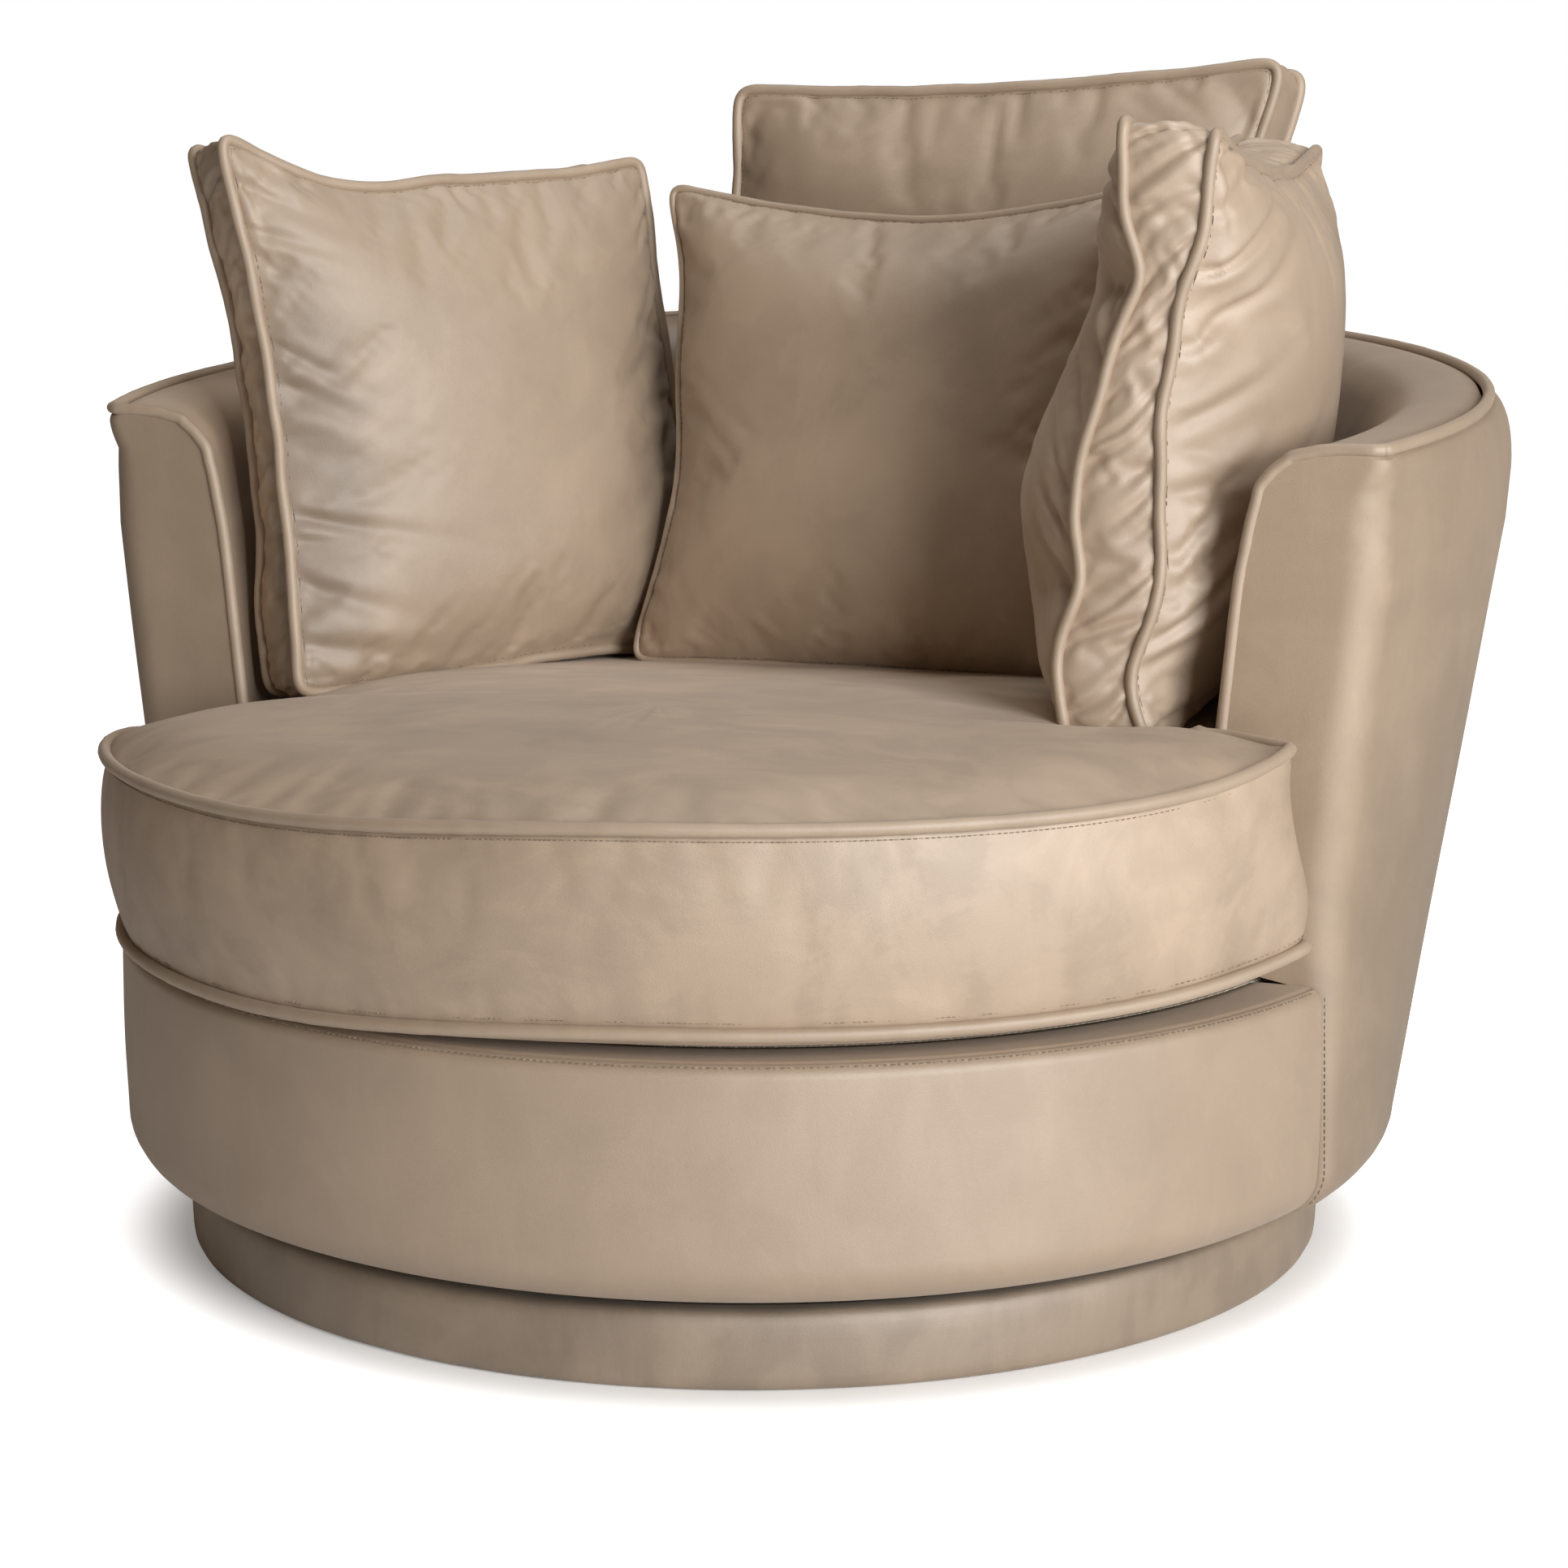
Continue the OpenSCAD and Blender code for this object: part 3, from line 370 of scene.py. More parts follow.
def placed(tree: Tree, scale: Point = (1.0, 1.0, 1.0), turn: Point = (0.0, 0.0, 0.0),
           move: Point = (0.0, 0.0, 0.0)) -> Socket:
    """Adds the chair's own coordinates, scaled along each axis, turned and moved.

    Args:
        tree: The node tree.
        scale: How many times finer a pattern gets along each axis.
        turn: The turn about each axis in radians.
        move: The move along each axis.

    Returns:
        The coordinates.
    """
    own = add_node(tree, "TexCoord", {}).outputs["Object"]
    return add_node(tree, "Mapping", {"Vector": own, "Scale": scale, "Rotation": turn,
                                      "Location": move}).outputs["Vector"]


def noise_node(tree: Tree, place: Socket, scale: float, detail: float,
               rough: float = 0.5, twist: float = 0.0) -> Socket:
    """Adds a noise texture and returns its value."""
    return add_node(tree, "TexNoise", {"Vector": place, "Scale": scale, "Detail": detail, "Roughness": rough,
                                       "Distortion": twist}).outputs["Fac"]


def waves(tree: Tree, way: str, scale: float, twist: float) -> Socket:
    """Adds bands across one axis of the chair and returns their value."""
    return add_node(tree, "TexWave", {"Vector": placed(tree), "Scale": scale, "Distortion": twist},
                    bands_direction=way).outputs["Fac"]


def ramp(tree: Tree, value: Socket, stops: list[tuple[float, Colour]]) -> Socket:
    """Adds a colour ramp over a value.

    Args:
        tree: The node tree.
        value: The value.
        stops: The colours, each with the value that it stands at.

    Returns:
        The colour.
    """
    node = add_node(tree, "ValToRGB", {"Fac": value})
    band = node.color_ramp
    band.interpolation = "EASE"
    while len(band.elements) < len(stops):
        band.elements.new(0.5)
    for element, (at, colour) in zip(band.elements, stops):
        element.position = at
        element.color = (*colour, 1.0)
    return node.outputs["Color"]


def span(tree: Tree, value: Socket, source: tuple[float, float],
         target: tuple[float, float] = (0.0, 1.0), kind: str = "SMOOTHSTEP") -> Socket:
    """Adds a map of a value from one range to another.

    Args:
        tree: The node tree.
        value: The value.
        source: The range that it has.
        target: The range that it gets.
        kind: How it runs from one end to the other.

    Returns:
        The new value.
    """
    return add_node(tree, "MapRange", {"Value": value, "From Min": source[0], "From Max": source[1],
                                       "To Min": target[0], "To Max": target[1]},
                    interpolation_type=kind).outputs["Result"]


def maths(tree: Tree, kind: str, a: Socket, b: Socket | float) -> Socket:
    """Adds a maths node between a value and another value or a number."""
    return add_node(tree, "Math", {0: a, 1: b}, operation=kind).outputs[0]


def mixed(tree: Tree, *parts: tuple[Socket, float]) -> Socket:
    """Adds up values, each times its weight.

    Args:
        tree: The node tree.
        parts: The values, each with its weight.

    Returns:
        The sum.
    """
    total = maths(tree, "MULTIPLY", *parts[0])
    for value, weight in parts[1:]:
        total = maths(tree, "ADD", total, maths(tree, "MULTIPLY", value, weight))
    return total


def bump(tree: Tree, shader: Node, height: Socket, strength: float,
         distance: float) -> None:
    """Presses a height into the shader's surface."""
    node = add_node(tree, "Bump", {"Height": height, "Strength": strength, "Distance": distance})
    tree.links.new(node.outputs["Normal"], shader.inputs["Normal"])


@dataclass(frozen=True)
class PaintedLight:
    """A place of painted light or painted shade, where the colour is made lighter or darker to stand for how the light
    falls.
    """

    at: Point
    reach: Point
    lift: float


@dataclass(frozen=True)
class Velvet:
    """Short-pile velvet whose nap lies lighter and darker in patches, with painted light and shade in given places."""

    name: str
    colour: Colour
    depth: float = 0.10
    patch: float = 4.0
    turn: float = 0.4
    gloss: float = 1.0
    strokes: Point = (1.0, 1.0, 0.3)
    painted_light: tuple[PaintedLight, ...] = ()

    def shade(self, share: float) -> Colour:
        """Returns the colour made lighter or darker by a share of the nap's depth."""
        return tuple(min(1.0, c * (1.0 + share * self.depth)) for c in self.colour)

    def nap(self, tree: Tree) -> Socket:
        """Adds the way the pile lies, from 0 where it lies dark to 1 where it lies light.

        Args:
            tree: The material's node tree.

        Returns:
            The value, from broad patches, smudges and strokes.
        """
        broad = noise_node(tree, placed(tree, (1.0, 1.0, 1.6), (0.2, self.turn, 0.3)), self.patch, 4.0, 0.55, 0.6)
        smudge = noise_node(tree, placed(tree, (1.0, 1.3, 0.8), (0.5, 0.2, self.turn)), 8.0, 4.0, 0.55, 1.3)
        strokes = noise_node(tree, placed(tree, self.strokes, (0.9, 0.1, 0.8 + self.turn)), 17.0, 5.0, 0.68, 1.0)
        return mixed(tree, (broad, 0.58), (span(tree, smudge, (0.36, 0.66)), 0.13), (strokes, 0.36))

    def paint_light(self, tree: Tree, colour: Socket, mark: PaintedLight) -> Socket:
        """Paints light or shade: makes the colour lighter or darker in a given place, with a ragged soft edge.

        Args:
            tree: The material's node tree.
            colour: The colour so far.
            mark: The place of painted light or shade.

        Returns:
            The colour with the mark on it.
        """
        inside = placed(tree, tuple(1.0 / r for r in mark.reach),
                        move=tuple(-a / r for a, r in zip(mark.at, mark.reach)))
        away = add_node(tree, "VectorMath", {0: inside}, operation="LENGTH").outputs["Value"]
        ragged = maths(tree, "SUBTRACT", noise_node(tree, placed(tree), 14.0, 4.0, 0.6, 0.6), 0.5)
        edge = maths(tree, "ADD", away, maths(tree, "MULTIPLY", ragged, 0.9))
        factor = span(tree, edge, (0.45, 1.0), (1.0 + mark.lift, 1.0))
        return add_node(tree, "VectorMath", {0: colour, "Scale": factor}, operation="SCALE").outputs["Vector"]

    def material(self) -> Material:
        """Makes the velvet's material.

        Returns:
            The material, with nap patches, painted light and shade in given places, small marks, pile and a broad satin
            gloss.
        """
        material, tree, shader = new_material(self.name)
        nap = self.nap(tree)
        specks = noise_node(tree, placed(tree), 900.0, 2.0)
        grained = maths(tree, "ADD", nap, maths(tree, "MULTIPLY", maths(tree, "SUBTRACT", specks, 0.5), 0.10))
        dark, light = NAP_RANGE
        colour = ramp(tree, grained, [(dark, self.shade(-1.0)), (0.48, self.shade(-0.3)),
                                      (0.58, self.shade(0.3)), (light, self.shade(1.0))])
        # Painted light and shade: the colour is made lighter or darker in each given place.
        for mark in self.painted_light:
            colour = self.paint_light(tree, colour, mark)
        feed(tree, shader, {
            "Base Color": colour, "IOR": 1.70, "Roughness": 0.62, "Sheen Weight": 0.16, "Sheen Roughness": 0.45,
            "Sheen Tint": (1.0, 0.93, 0.85, 1.0),
            "Specular IOR Level": span(tree, nap, NAP_RANGE, (0.85 * self.gloss, 1.05 * self.gloss), "LINEAR")})
        bump(tree, shader, mixed(tree, (specks, 1.0), (nap, 0.5)), 0.30, 0.0006)
        return material


@dataclass(frozen=True)
class Timber:
    """Planed softwood or plywood, raw."""

    name: str
    kind: Wood
    colour: Colour

    def material(self) -> Material:
        """Makes the wood's material.

        Returns:
            The material, with grain, and with plies where it is plywood.
        """
        material, tree, shader = new_material(self.name)
        grain = noise_node(tree, placed(tree, (2.0, 34.0, 34.0)), 3.0, 6.0, 0.6, 0.6)
        if self.kind is Wood.PLYWOOD:
            grain = mixed(tree, (grain, 0.75), (waves(tree, "Z", 105.0, 0.8), 0.25))
        stops = [(0.25, shaded(self.colour, 0.66)), (0.5, self.colour), (0.75, shaded(self.colour, 1.12))]
        feed(tree, shader, {"Base Color": ramp(tree, grain, stops), "Roughness": 0.62})
        bump(tree, shader, grain, 0.2, 0.0006)
        return material


@dataclass(frozen=True)
class Metal:
    """Plated or oiled steel, or brass."""

    name: str
    colour: Colour
    roughness: float = 0.34

    def material(self) -> Material:
        """Makes the metal's material.

        Returns:
            The material, with fine brushing and a blotchy finish.
        """
        material, tree, shader = new_material(self.name)
        cloud = noise_node(tree, placed(tree), 60.0, 4.0, 0.6)
        lines = noise_node(tree, placed(tree, (6.0, 300.0, 6.0)), 4.0, 3.0)
        rough = span(tree, cloud, (0.0, 1.0), (self.roughness - 0.08, self.roughness + 0.12), "LINEAR")
        colour = ramp(tree, cloud, [(0.3, shaded(self.colour, 0.8)), (0.7, self.colour)])
        feed(tree, shader, {"Base Color": colour, "Metallic": 1.0, "Roughness": rough})
        bump(tree, shader, lines, 0.12, 0.0003)
        return material


@dataclass(frozen=True)
class Cloth:
    """Plain woven, knitted or felted cloth of the hidden parts."""

    name: str
    colour: Colour
    thread: float = 900.0

    def material(self) -> Material:
        """Makes the cloth's material.

        Returns:
            The material, with crossing threads and loose fibres.
        """
        material, tree, shader = new_material(self.name)
        warp, weft = (waves(tree, way, self.thread / 6.0, 1.2) for way in ("X", "Y"))
        fluff = noise_node(tree, placed(tree), 240.0, 4.0, 0.7)
        mix = mixed(tree, (maths(tree, "MULTIPLY", warp, weft), 0.5), (fluff, 0.5))
        pale = tuple(min(1.0, c * 1.35 + 0.01) for c in self.colour)
        colour = ramp(tree, mix, [(0.2, shaded(self.colour, 0.7)), (0.7, pale)])
        feed(tree, shader, {"Base Color": colour, "Roughness": 0.9})
        bump(tree, shader, mix, 0.4, 0.0006)
        return material


def dress(obj: Object, material: Material, body: str = "chair",
          replaced: tuple[str, ...] = ()) -> None:
    """Gives a piece its material, its body and the nodes it stands for.

    Args:
        obj: The piece.
        material: Its material.
        body: The body it moves with.
        replaced: The CAD nodes that it replaces.
    """
    obj.data.materials.clear()
    obj.data.materials.append(material)
    if replaced:
        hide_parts(*replaced)
    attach(obj, body)
    log.info("made %s with %d faces", obj.name, len(obj.data.polygons))


# Form of the tub

# Heights from the rim and depths inside the tub of the padding, for the arms' faces and for the roll over the rim
PAD_FACE = ((-0.095, 0.125), (-0.055, 0.116), (-0.030, 0.109), (-0.018, 0.100), (-0.006, 0.085), (0.0, 0.060))
PAD_ROLL = ((-0.095, 0.125), (-0.055, 0.1165), (-0.030, 0.109), (-0.016, 0.099), (-0.005, 0.083), (-0.0005, 0.060),
            (0.0008, 0.040), (-0.0015, 0.0285))


@dataclass(frozen=True)
class TubForm:
    """Sizes of the tub in metres, and the rules that give its surfaces."""

    under_z: float = 0.076
    deck_z: float = 0.259
    rim_back_z: float = 0.729
    rim_front_z: float = 0.672
    lean: float = 0.082
    tub_r: float = 0.5995
    rim_r: float = 0.579
    wall: float = 0.125
    arm_front: float = 0.110
    edge_r: float = 0.036
    piping_r: float = 0.005
    front_in: float = 0.022
    foot_round: float = 0.040
    foot_in: float = 0.0641
    soft_in: float = 0.002
    lip_out: float = 0.004
    wide_drop: float = 0.059
    shoulder_drop: float = 0.100
    seam_gap: float = 0.0018
    draw_low: float = 0.22
    draw_high: float = 0.036
    pad_drop: float = 0.095
    knee: float = 0.06
    foot_edge: float = 0.0095
    tip_r: float = 0.014
    piping_in: float = 0.0025
    piping_dip: float = 0.0005

    @property
    def foot_z(self) -> float:
        """Height where the rounded foot ends."""
        return self.under_z + self.foot_round

    @property
    def foot_r(self) -> float:
        """Radius of the tub at the top of its rounded foot."""
        return self.tub_r - self.foot_in

    @property
    def slope(self) -> float:
        """Rise of the rim for each metre towards the back."""
        return (self.rim_back_z - self.rim_front_z) / (self.rim_r + self.lean + self.arm_front)

    @property
    def roll(self) -> float:
        """Height over which the cover rolls in from its widest place to the piping."""
        return self.wide_drop - self.piping_r - self.seam_gap

    def rim_z(self, y: float) -> float:
        """Height of the rim at a depth."""
        return self.rim_back_z - self.slope * self.rim_r + self.slope * (y - self.lean)

    def rim_over(self, angle: float) -> float:
        """Height of the rim at an angle from the back, or over the arm front past its end."""
        return self.rim_z(max(self.lean + self.rim_r * math.cos(angle), -self.arm_front))

    def centre_y(self, z: float) -> float:
        """Depth of the centre of the tub's plan at a height."""
        low = self.under_z + 0.015
        return self.lean * (min(z, self.rim_front_z) - low) / (self.rim_front_z - low)

    def radius(self, z: float, top: float) -> float:
        """Outer radius at a height, under a rim at height top.

        Args:
            z: The height.
            top: The rim's height there.

        Returns:
            The radius.
        """
        if z < self.foot_z:
            dip = self.foot_z - z
            return self.foot_r - self.foot_round + math.sqrt(max(0.0, self.foot_round ** 2 - dip ** 2))
        if z < top - self.shoulder_drop:
            share = (z - self.foot_z) / (top - self.shoulder_drop - self.foot_z)
            return blend(self.foot_r, self.tub_r - self.soft_in, share)
        if z < top - self.wide_drop:
            share = (z - top + self.shoulder_drop) / (self.shoulder_drop - self.wide_drop)
            return blend(self.tub_r - self.soft_in, self.tub_r, share)
        rise = (z - top + self.wide_drop) / self.roll
        return (self.rim_r + self.lip_out
                + (self.tub_r - self.rim_r - self.lip_out) * math.sqrt(max(0.0, 1 - rise ** 2)))

    def draw(self, z: float, top: float) -> float:
        """How far the cover is drawn in beside the arm fronts."""
        return (self.front_in * clamp((z - self.foot_z) / self.draw_low, 0, 1)
                * clamp((top - z) / self.draw_high, 0, 1))

    def inner(self, z: float, top: float) -> float:
        """Radius of the padding's face at a height.

        Args:
            z: The height.
            top: The rim's height there.

        Returns:
            The radius.
        """
        if z < top - self.pad_drop:
            return (self.radius(z, top) - self.wall
                    + 0.0006 * (z - self.deck_z) / (top - self.pad_drop - self.deck_z))
        return self.tub_r - float(np.interp(z - top, *zip(*PAD_FACE)))

    def edge_round(self, z: float, top: float) -> float:
        """Radius of the arm front's rounded edge at a height.

        Args:
            z: The height.
            top: The rim's height there.

        Returns:
            The radius.
        """
        if z < self.deck_z + self.knee:
            return blend(self.foot_edge, self.edge_r, (z - self.under_z) / (self.deck_z + self.knee - self.under_z))
        if z < top - self.wide_drop:
            return self.edge_r
        return blend(self.edge_r, self.tip_r, (z - top + self.wide_drop) / self.wide_drop)

    def panel_end(self, z: float, top: float) -> float:
        """Inner end of the flat arm front at a height.

        Args:
            z: The height.
            top: The rim's height there.

        Returns:
            The distance from the chair's middle plane.
        """
        if z < self.deck_z + 0.001:
            return 0.491
        depth = self.arm_front - self.piping_in + self.centre_y(z)
        return math.sqrt(self.inner(z + 0.0015, top) ** 2 - depth ** 2) + self.piping_in


@dataclass
class Tub:
    """Outer cover, arm fronts, inner padding and the piping between them."""

    form: TubForm
    velvet: Material
    inner_velvet: Material
    piping: Material
    thread: Material
    arc_steps: int = 96
    side_end: float = 106.0
    arm_angle: float = 108.0
    drawn_from: float = 78.0
    rows: list[tuple[str, float]] = field(default_factory=list)

    def __post_init__(self) -> None:
        """Lists the heights of the cover's rows."""
        form = self.form
        low = [form.under_z + 0.0008 + form.foot_round * (1 - math.cos(math.pi / 2 * i / 8)) for i in range(9)]
        self.rows = [("level", z) for z in low]
        self.rows += [("level", blend(low[-1], form.deck_z, i / 9)) for i in range(1, 10)]
        self.rows += [("share", i / 22) for i in range(1, 23)]
        self.rows += [("below", d) for d in (-0.09, -0.08, -0.07)]
        self.rows += [("below", -form.wide_drop + form.roll * math.sin(math.pi / 2 * i / 10)) for i in range(11)]

    def rim_over(self, place: tuple[int, float]) -> float:
        """Returns the height of the rim over a place of the cover's right half."""
        zone, share = place
        return self.form.rim_over(math.radians(share * self.side_end if zone == 0 else self.arm_angle))

    def row_height(self, row: tuple[str, float], top: float) -> float:
        """Finds the height of a row of the cover.

        Args:
            row: The row, as its kind and value.
            top: The rim's height there.

        Returns:
            The height.
        """
        kind, value = row
        if kind == "level":
            return value
        if kind == "share":
            return self.form.deck_z + value * (top - self.form.shoulder_drop - self.form.deck_z)
        return top + value

    def cover_point(self, place: tuple[int, float], row: tuple[str, float], inset: float) -> Point:
        """Finds a point of the right half of the outer cover.

        Args:
            place: 0 on the round side, 1 on the rounded edge or 2 on the arm front, and the share along it.
            row: The row of the cover.
            inset: How far the point lies inside the surface.

        Returns:
            The point.
        """
        form, (zone, f) = self.form, place
        top = self.rim_over(place)
        z = self.row_height(row, top)
        e = form.edge_round(z, top)
        r_end = form.radius(z, top) - form.draw(z, top)
        y = form.centre_y(z)
        x_edge = math.sqrt((r_end - e) ** 2 - (y + form.arm_front - e) ** 2)
        a_edge = math.pi / 2 + math.asin((y + form.arm_front - e) / (r_end - e))
        if zone == 0:
            a = f * a_edge
            near = clamp((math.degrees(a) - self.drawn_from) / (math.degrees(a_edge) - self.drawn_from), 0, 1)
            r = form.radius(z, top) - form.draw(z, top) * near ** 1.5 - inset
            return around(r, a, z, y)
        if zone == 1:
            a = blend(a_edge, math.pi, f)
            return x_edge + (e - inset) * math.sin(a), e - form.arm_front + (e - inset) * math.cos(a), z
        end = min(form.panel_end(z, top), x_edge - 0.0015)
        return blend(x_edge, end, f), inset - form.arm_front, z

    def crease(self, p: Point, top: float) -> float:
        """Depth of the small puckers where the cover turns over the arm's front corner.

        Args:
            p: The point.
            top: The rim's height there.

        Returns:
            The depth in metres.
        """
        x, y, z = abs(p[0]), p[1], p[2]
        away = math.dist((x, y, z), (0.545, -0.085, top - 0.03))
        if away > 0.11:
            return 0.0
        turn = math.atan2(z - top + 0.05, y + 0.12)
        return 0.0016 * (1 - away / 0.11) ** 1.5 * math.sin(turn * 9.0 + 14.0 * away)

    def half_cover(self, puckers: float) -> list[list[Point]]:
        """Builds the right half of the outer cover.

        Args:
            puckers: How strongly the cloth puckers at the arm's front corner.

        Returns:
            The points, column by column from the middle of the back to the arm front's inner edge.
        """
        places = [(0, i / self.arc_steps) for i in range(self.arc_steps + 1)]
        places += [(1, i / 12) for i in range(1, 13)] + [(2, i / 8) for i in range(1, 9)]
        half: list[list[Point]] = []
        for place in places:
            top = self.rim_over(place)
            column = [self.cover_point(place, ("level", self.form.under_z + 0.004), 0.012),
                      self.cover_point(place, ("level", self.form.under_z + 0.002), 0.006)]
            for row in self.rows:
                p = self.cover_point(place, row, 0.0)
                soft = 0.0010 * ripple(p, 0.16, 1.3 + 3.0 * puckers) + puckers * self.crease(p, top)
                column.append(self.cover_point(place, row, soft))
            last = self.cover_point(place, self.rows[-1], 0.0)
            lip = self.cover_point(place, self.rows[-1], 0.0045)
            column.append((last[0] * 0.999, last[1], last[2] + 0.0032))
            column.append((lip[0], lip[1], last[2] + 0.0030))
            half.append(column)
        return half

    def make_cover(self) -> Object:
        """Builds the outer cover as one sheet with turned-in edges.

        Returns:
            The cover.
        """
        left = [mirrored(column) for column in reversed(self.half_cover(0.0)[1:])]
        grid = left + self.half_cover(1.0)
        verts = [p for column in grid for p in column]
        return add_mesh("tub_velvet", verts, grid_faces(len(grid), len(grid[0])))

    def make_padding(self) -> Object:
        """Builds the inner padding's face, from the seat deck up and over the rim.

        Returns:
            The padding.
        """
        form = self.form
        roll = spline(np.array(PAD_ROLL), 5)
        shares = [i / 26 for i in range(27)]
        places = [i / 90 for i in range(-90, 91)]
        verts: list[Point] = []
        for f in places:
            top = form.rim_over(math.radians(abs(f) * self.arm_angle))
            profile = [(form.deck_z + 0.0005, form.inner(form.deck_z, top) + 0.02)]
            profile += [(z, form.inner(z, top)) for z in
                        (blend(form.deck_z + 0.0005, top - 0.097, s) for s in shares)]
            profile += [(top + d, form.tub_r - w) for d, w in roll]
            profile += [(top - 0.010, form.rim_r - form.piping_r + 0.001)]
            for z, r in profile:
                y = form.centre_y(z)
                a = f * (math.pi / 2 + math.asin((y + 0.1035) / r))
                p = around(r, a, z, y)
                soft = 0.0016 * ripple(p, 0.13, 6.1) + 0.0006 * ripple(p, 0.03, 2.2)
                calm = clamp((top - z) / 0.02, 0.15, 1) * clamp((0.985 - abs(f)) * 20, 0, 1)
                verts.append(around(r + soft * calm, a, z, y))
        return add_mesh("tub_lining", verts, grid_faces(len(places), len(profile)))

    def piping_line(self) -> np.ndarray:
        """Draws the line of the piping, up the right arm, round the rim and down the left arm.

        Returns:
            The line's points.
        """
        form = self.form
        top = form.rim_z(-form.arm_front)
        y = -form.arm_front + form.piping_in

        def face(z: float) -> Point:
            """Returns the point of the arm front's inner edge at a height."""
            return math.sqrt(form.inner(z, top) ** 2 - (form.centre_y(z) - y) ** 2) + 0.001, y, z - 0.001

        heights = [form.deck_z + 0.008 + 0.035 * i for i in range(9)]
        heights += [top - d for d in (0.095, 0.075, 0.055, 0.042, 0.030, 0.022, 0.016, 0.010, 0.006, 0.003, 0.001)]
        arm = [face(z) for z in heights]
        e = form.tip_r
        xc = math.sqrt((form.rim_r - e) ** 2 - (form.lean - y - e) ** 2)
        a0 = math.pi / 2 + math.asin((form.lean - y - e) / (form.rim_r - e))
        corner = []
        for f in (0.0, 0.35, 0.7, 1.0):
            a = blend(math.pi, a0, f)
            q = y + e + e * math.cos(a)
            corner.append((xc + e * math.sin(a), q, form.rim_z(max(q, -form.arm_front)) - form.piping_dip))
        rim = []
        for i in range(23, 0, -1):
            x, q, _ = around(form.rim_r, a0 * i / 24, 0.0, form.lean)
            rim.append((x, q, form.rim_z(q) - form.piping_dip))
        half = arm + [(blend(arm[-1][0], xc, 0.5), y, top - 0.0006)] + corner + rim
        line = half + [(0.0, form.lean + form.rim_r, form.rim_back_z - form.piping_dip)] + mirrored(half)[::-1]
        return spline(np.array(line), 6)

    def build(self) -> None:
        """Builds and dresses the tub."""
        cover = self.make_cover()
        dress(cover, self.velvet, replaced=("tub_cover",))
        lining = self.make_padding()
        dress(lining, self.inner_velvet, replaced=("tub_padding",))
        cord = lay_cord("rim_cord", self.piping_line(), self.form.piping_r, 0.05, sides=14, closed=False)
        dress(cord, self.piping, replaced=("rim_piping",))
        for side in Side:
            self.side_seam(side)

    def side_seam(self, side: Side) -> None:
        """Sews the seam between the front border and the tub's cover.

        Args:
            side: The side of the chair.
        """
        heights = np.linspace(self.form.under_z + 0.012, self.form.deck_z - 0.004, 40)
        line, out = [], []
        for z in heights:
            p = self.cover_point((1, 0.62), ("level", float(z)), 0.0)
            line.append((side.value * p[0], p[1] - 0.0002, z))
            out.append((side.value * 0.6, -0.8, 0.0))
        row = stitches(f"side_seam_{side.name.lower()}", np.array(line), np.array(out))
        dress(row, self.thread)


@dataclass
class FrontBorder:
    """Padded border round the front of the seat, with a seam along its top edge."""

    form: TubForm
    velvet: Material
    thread: Material
    drum_r: float = 0.525
    lip_r: float = 0.4691
    round_r: float = 0.010
    foot_r: float = 0.035
    seam_r: float = 0.5222
    seam_end: float = 1.345

    def profile(self) -> list[tuple[float, float]]:
        """Draws the border's section.

        Returns:
            Radii and heights, from the inner lip to the turned-in foot.
        """
        form = self.form
        out = [(self.lip_r, form.deck_z - 0.004), (self.lip_r + 0.002, form.deck_z)]
        out += [(r, form.deck_z + 0.0008) for r in np.linspace(0.48, 0.512, 4)]
        out += [(0.5155, form.deck_z + 0.0002), (0.5172, form.deck_z - 0.0020)]
        out += [(0.5190, form.deck_z - 0.0006)]
        cx, cz = self.drum_r - self.round_r, form.deck_z - 0.0012 - self.round_r
        out += [(cx + self.round_r * math.sin(a), cz + self.round_r * math.cos(a))
                for a in np.linspace(0.5, math.pi / 2, 7)]
        top, low = cz, form.under_z + self.foot_r
        for i in range(1, 14):
            f = i / 14
            out.append((self.drum_r + 0.0012 * math.sin(math.pi * f), blend(top, low, f)))
        cx = self.drum_r - self.foot_r
        out += [(cx + self.foot_r * math.cos(a), low - self.foot_r * math.sin(a))
                for a in np.linspace(0.0, math.pi / 2, 12)]
        out += [(cx - 0.012, form.under_z + 0.0006), (cx - 0.03, form.under_z + 0.0012)]
        return out

    def build(self) -> None:
        """Builds and dresses the border and its stitches."""
        profile = self.profile()
        steps = 220
        verts: list[Point] = []
        for i in range(steps + 1):
            f = -1 + 2 * i / steps
            for r, z in profile:
                a = f * math.acos((self.form.arm_front + 0.0003) / r)
                p = before(r, a, z)
                outer = clamp((r - 0.50) / 0.02, 0, 1)
                r2 = r + outer * (0.0012 * ripple(p, 0.17, 4.4) + 0.0004 * ripple(p, 0.045, 0.9))
                verts.append(before(r2, a, z))
        border = add_mesh("front_velvet", verts, grid_faces(steps + 1, len(profile)))
        dress(border, self.velvet, replaced=("front_border",))
        angles = np.linspace(-self.seam_end, self.seam_end, 300)
        line = np.array([before(self.seam_r, a, self.form.deck_z - 0.0018) for a in angles])
        out = np.array([(math.sin(a) * 0.7, -math.cos(a) * 0.7, 0.7) for a in angles])
        dress(stitches("front_top_seam", line, out), self.thread)


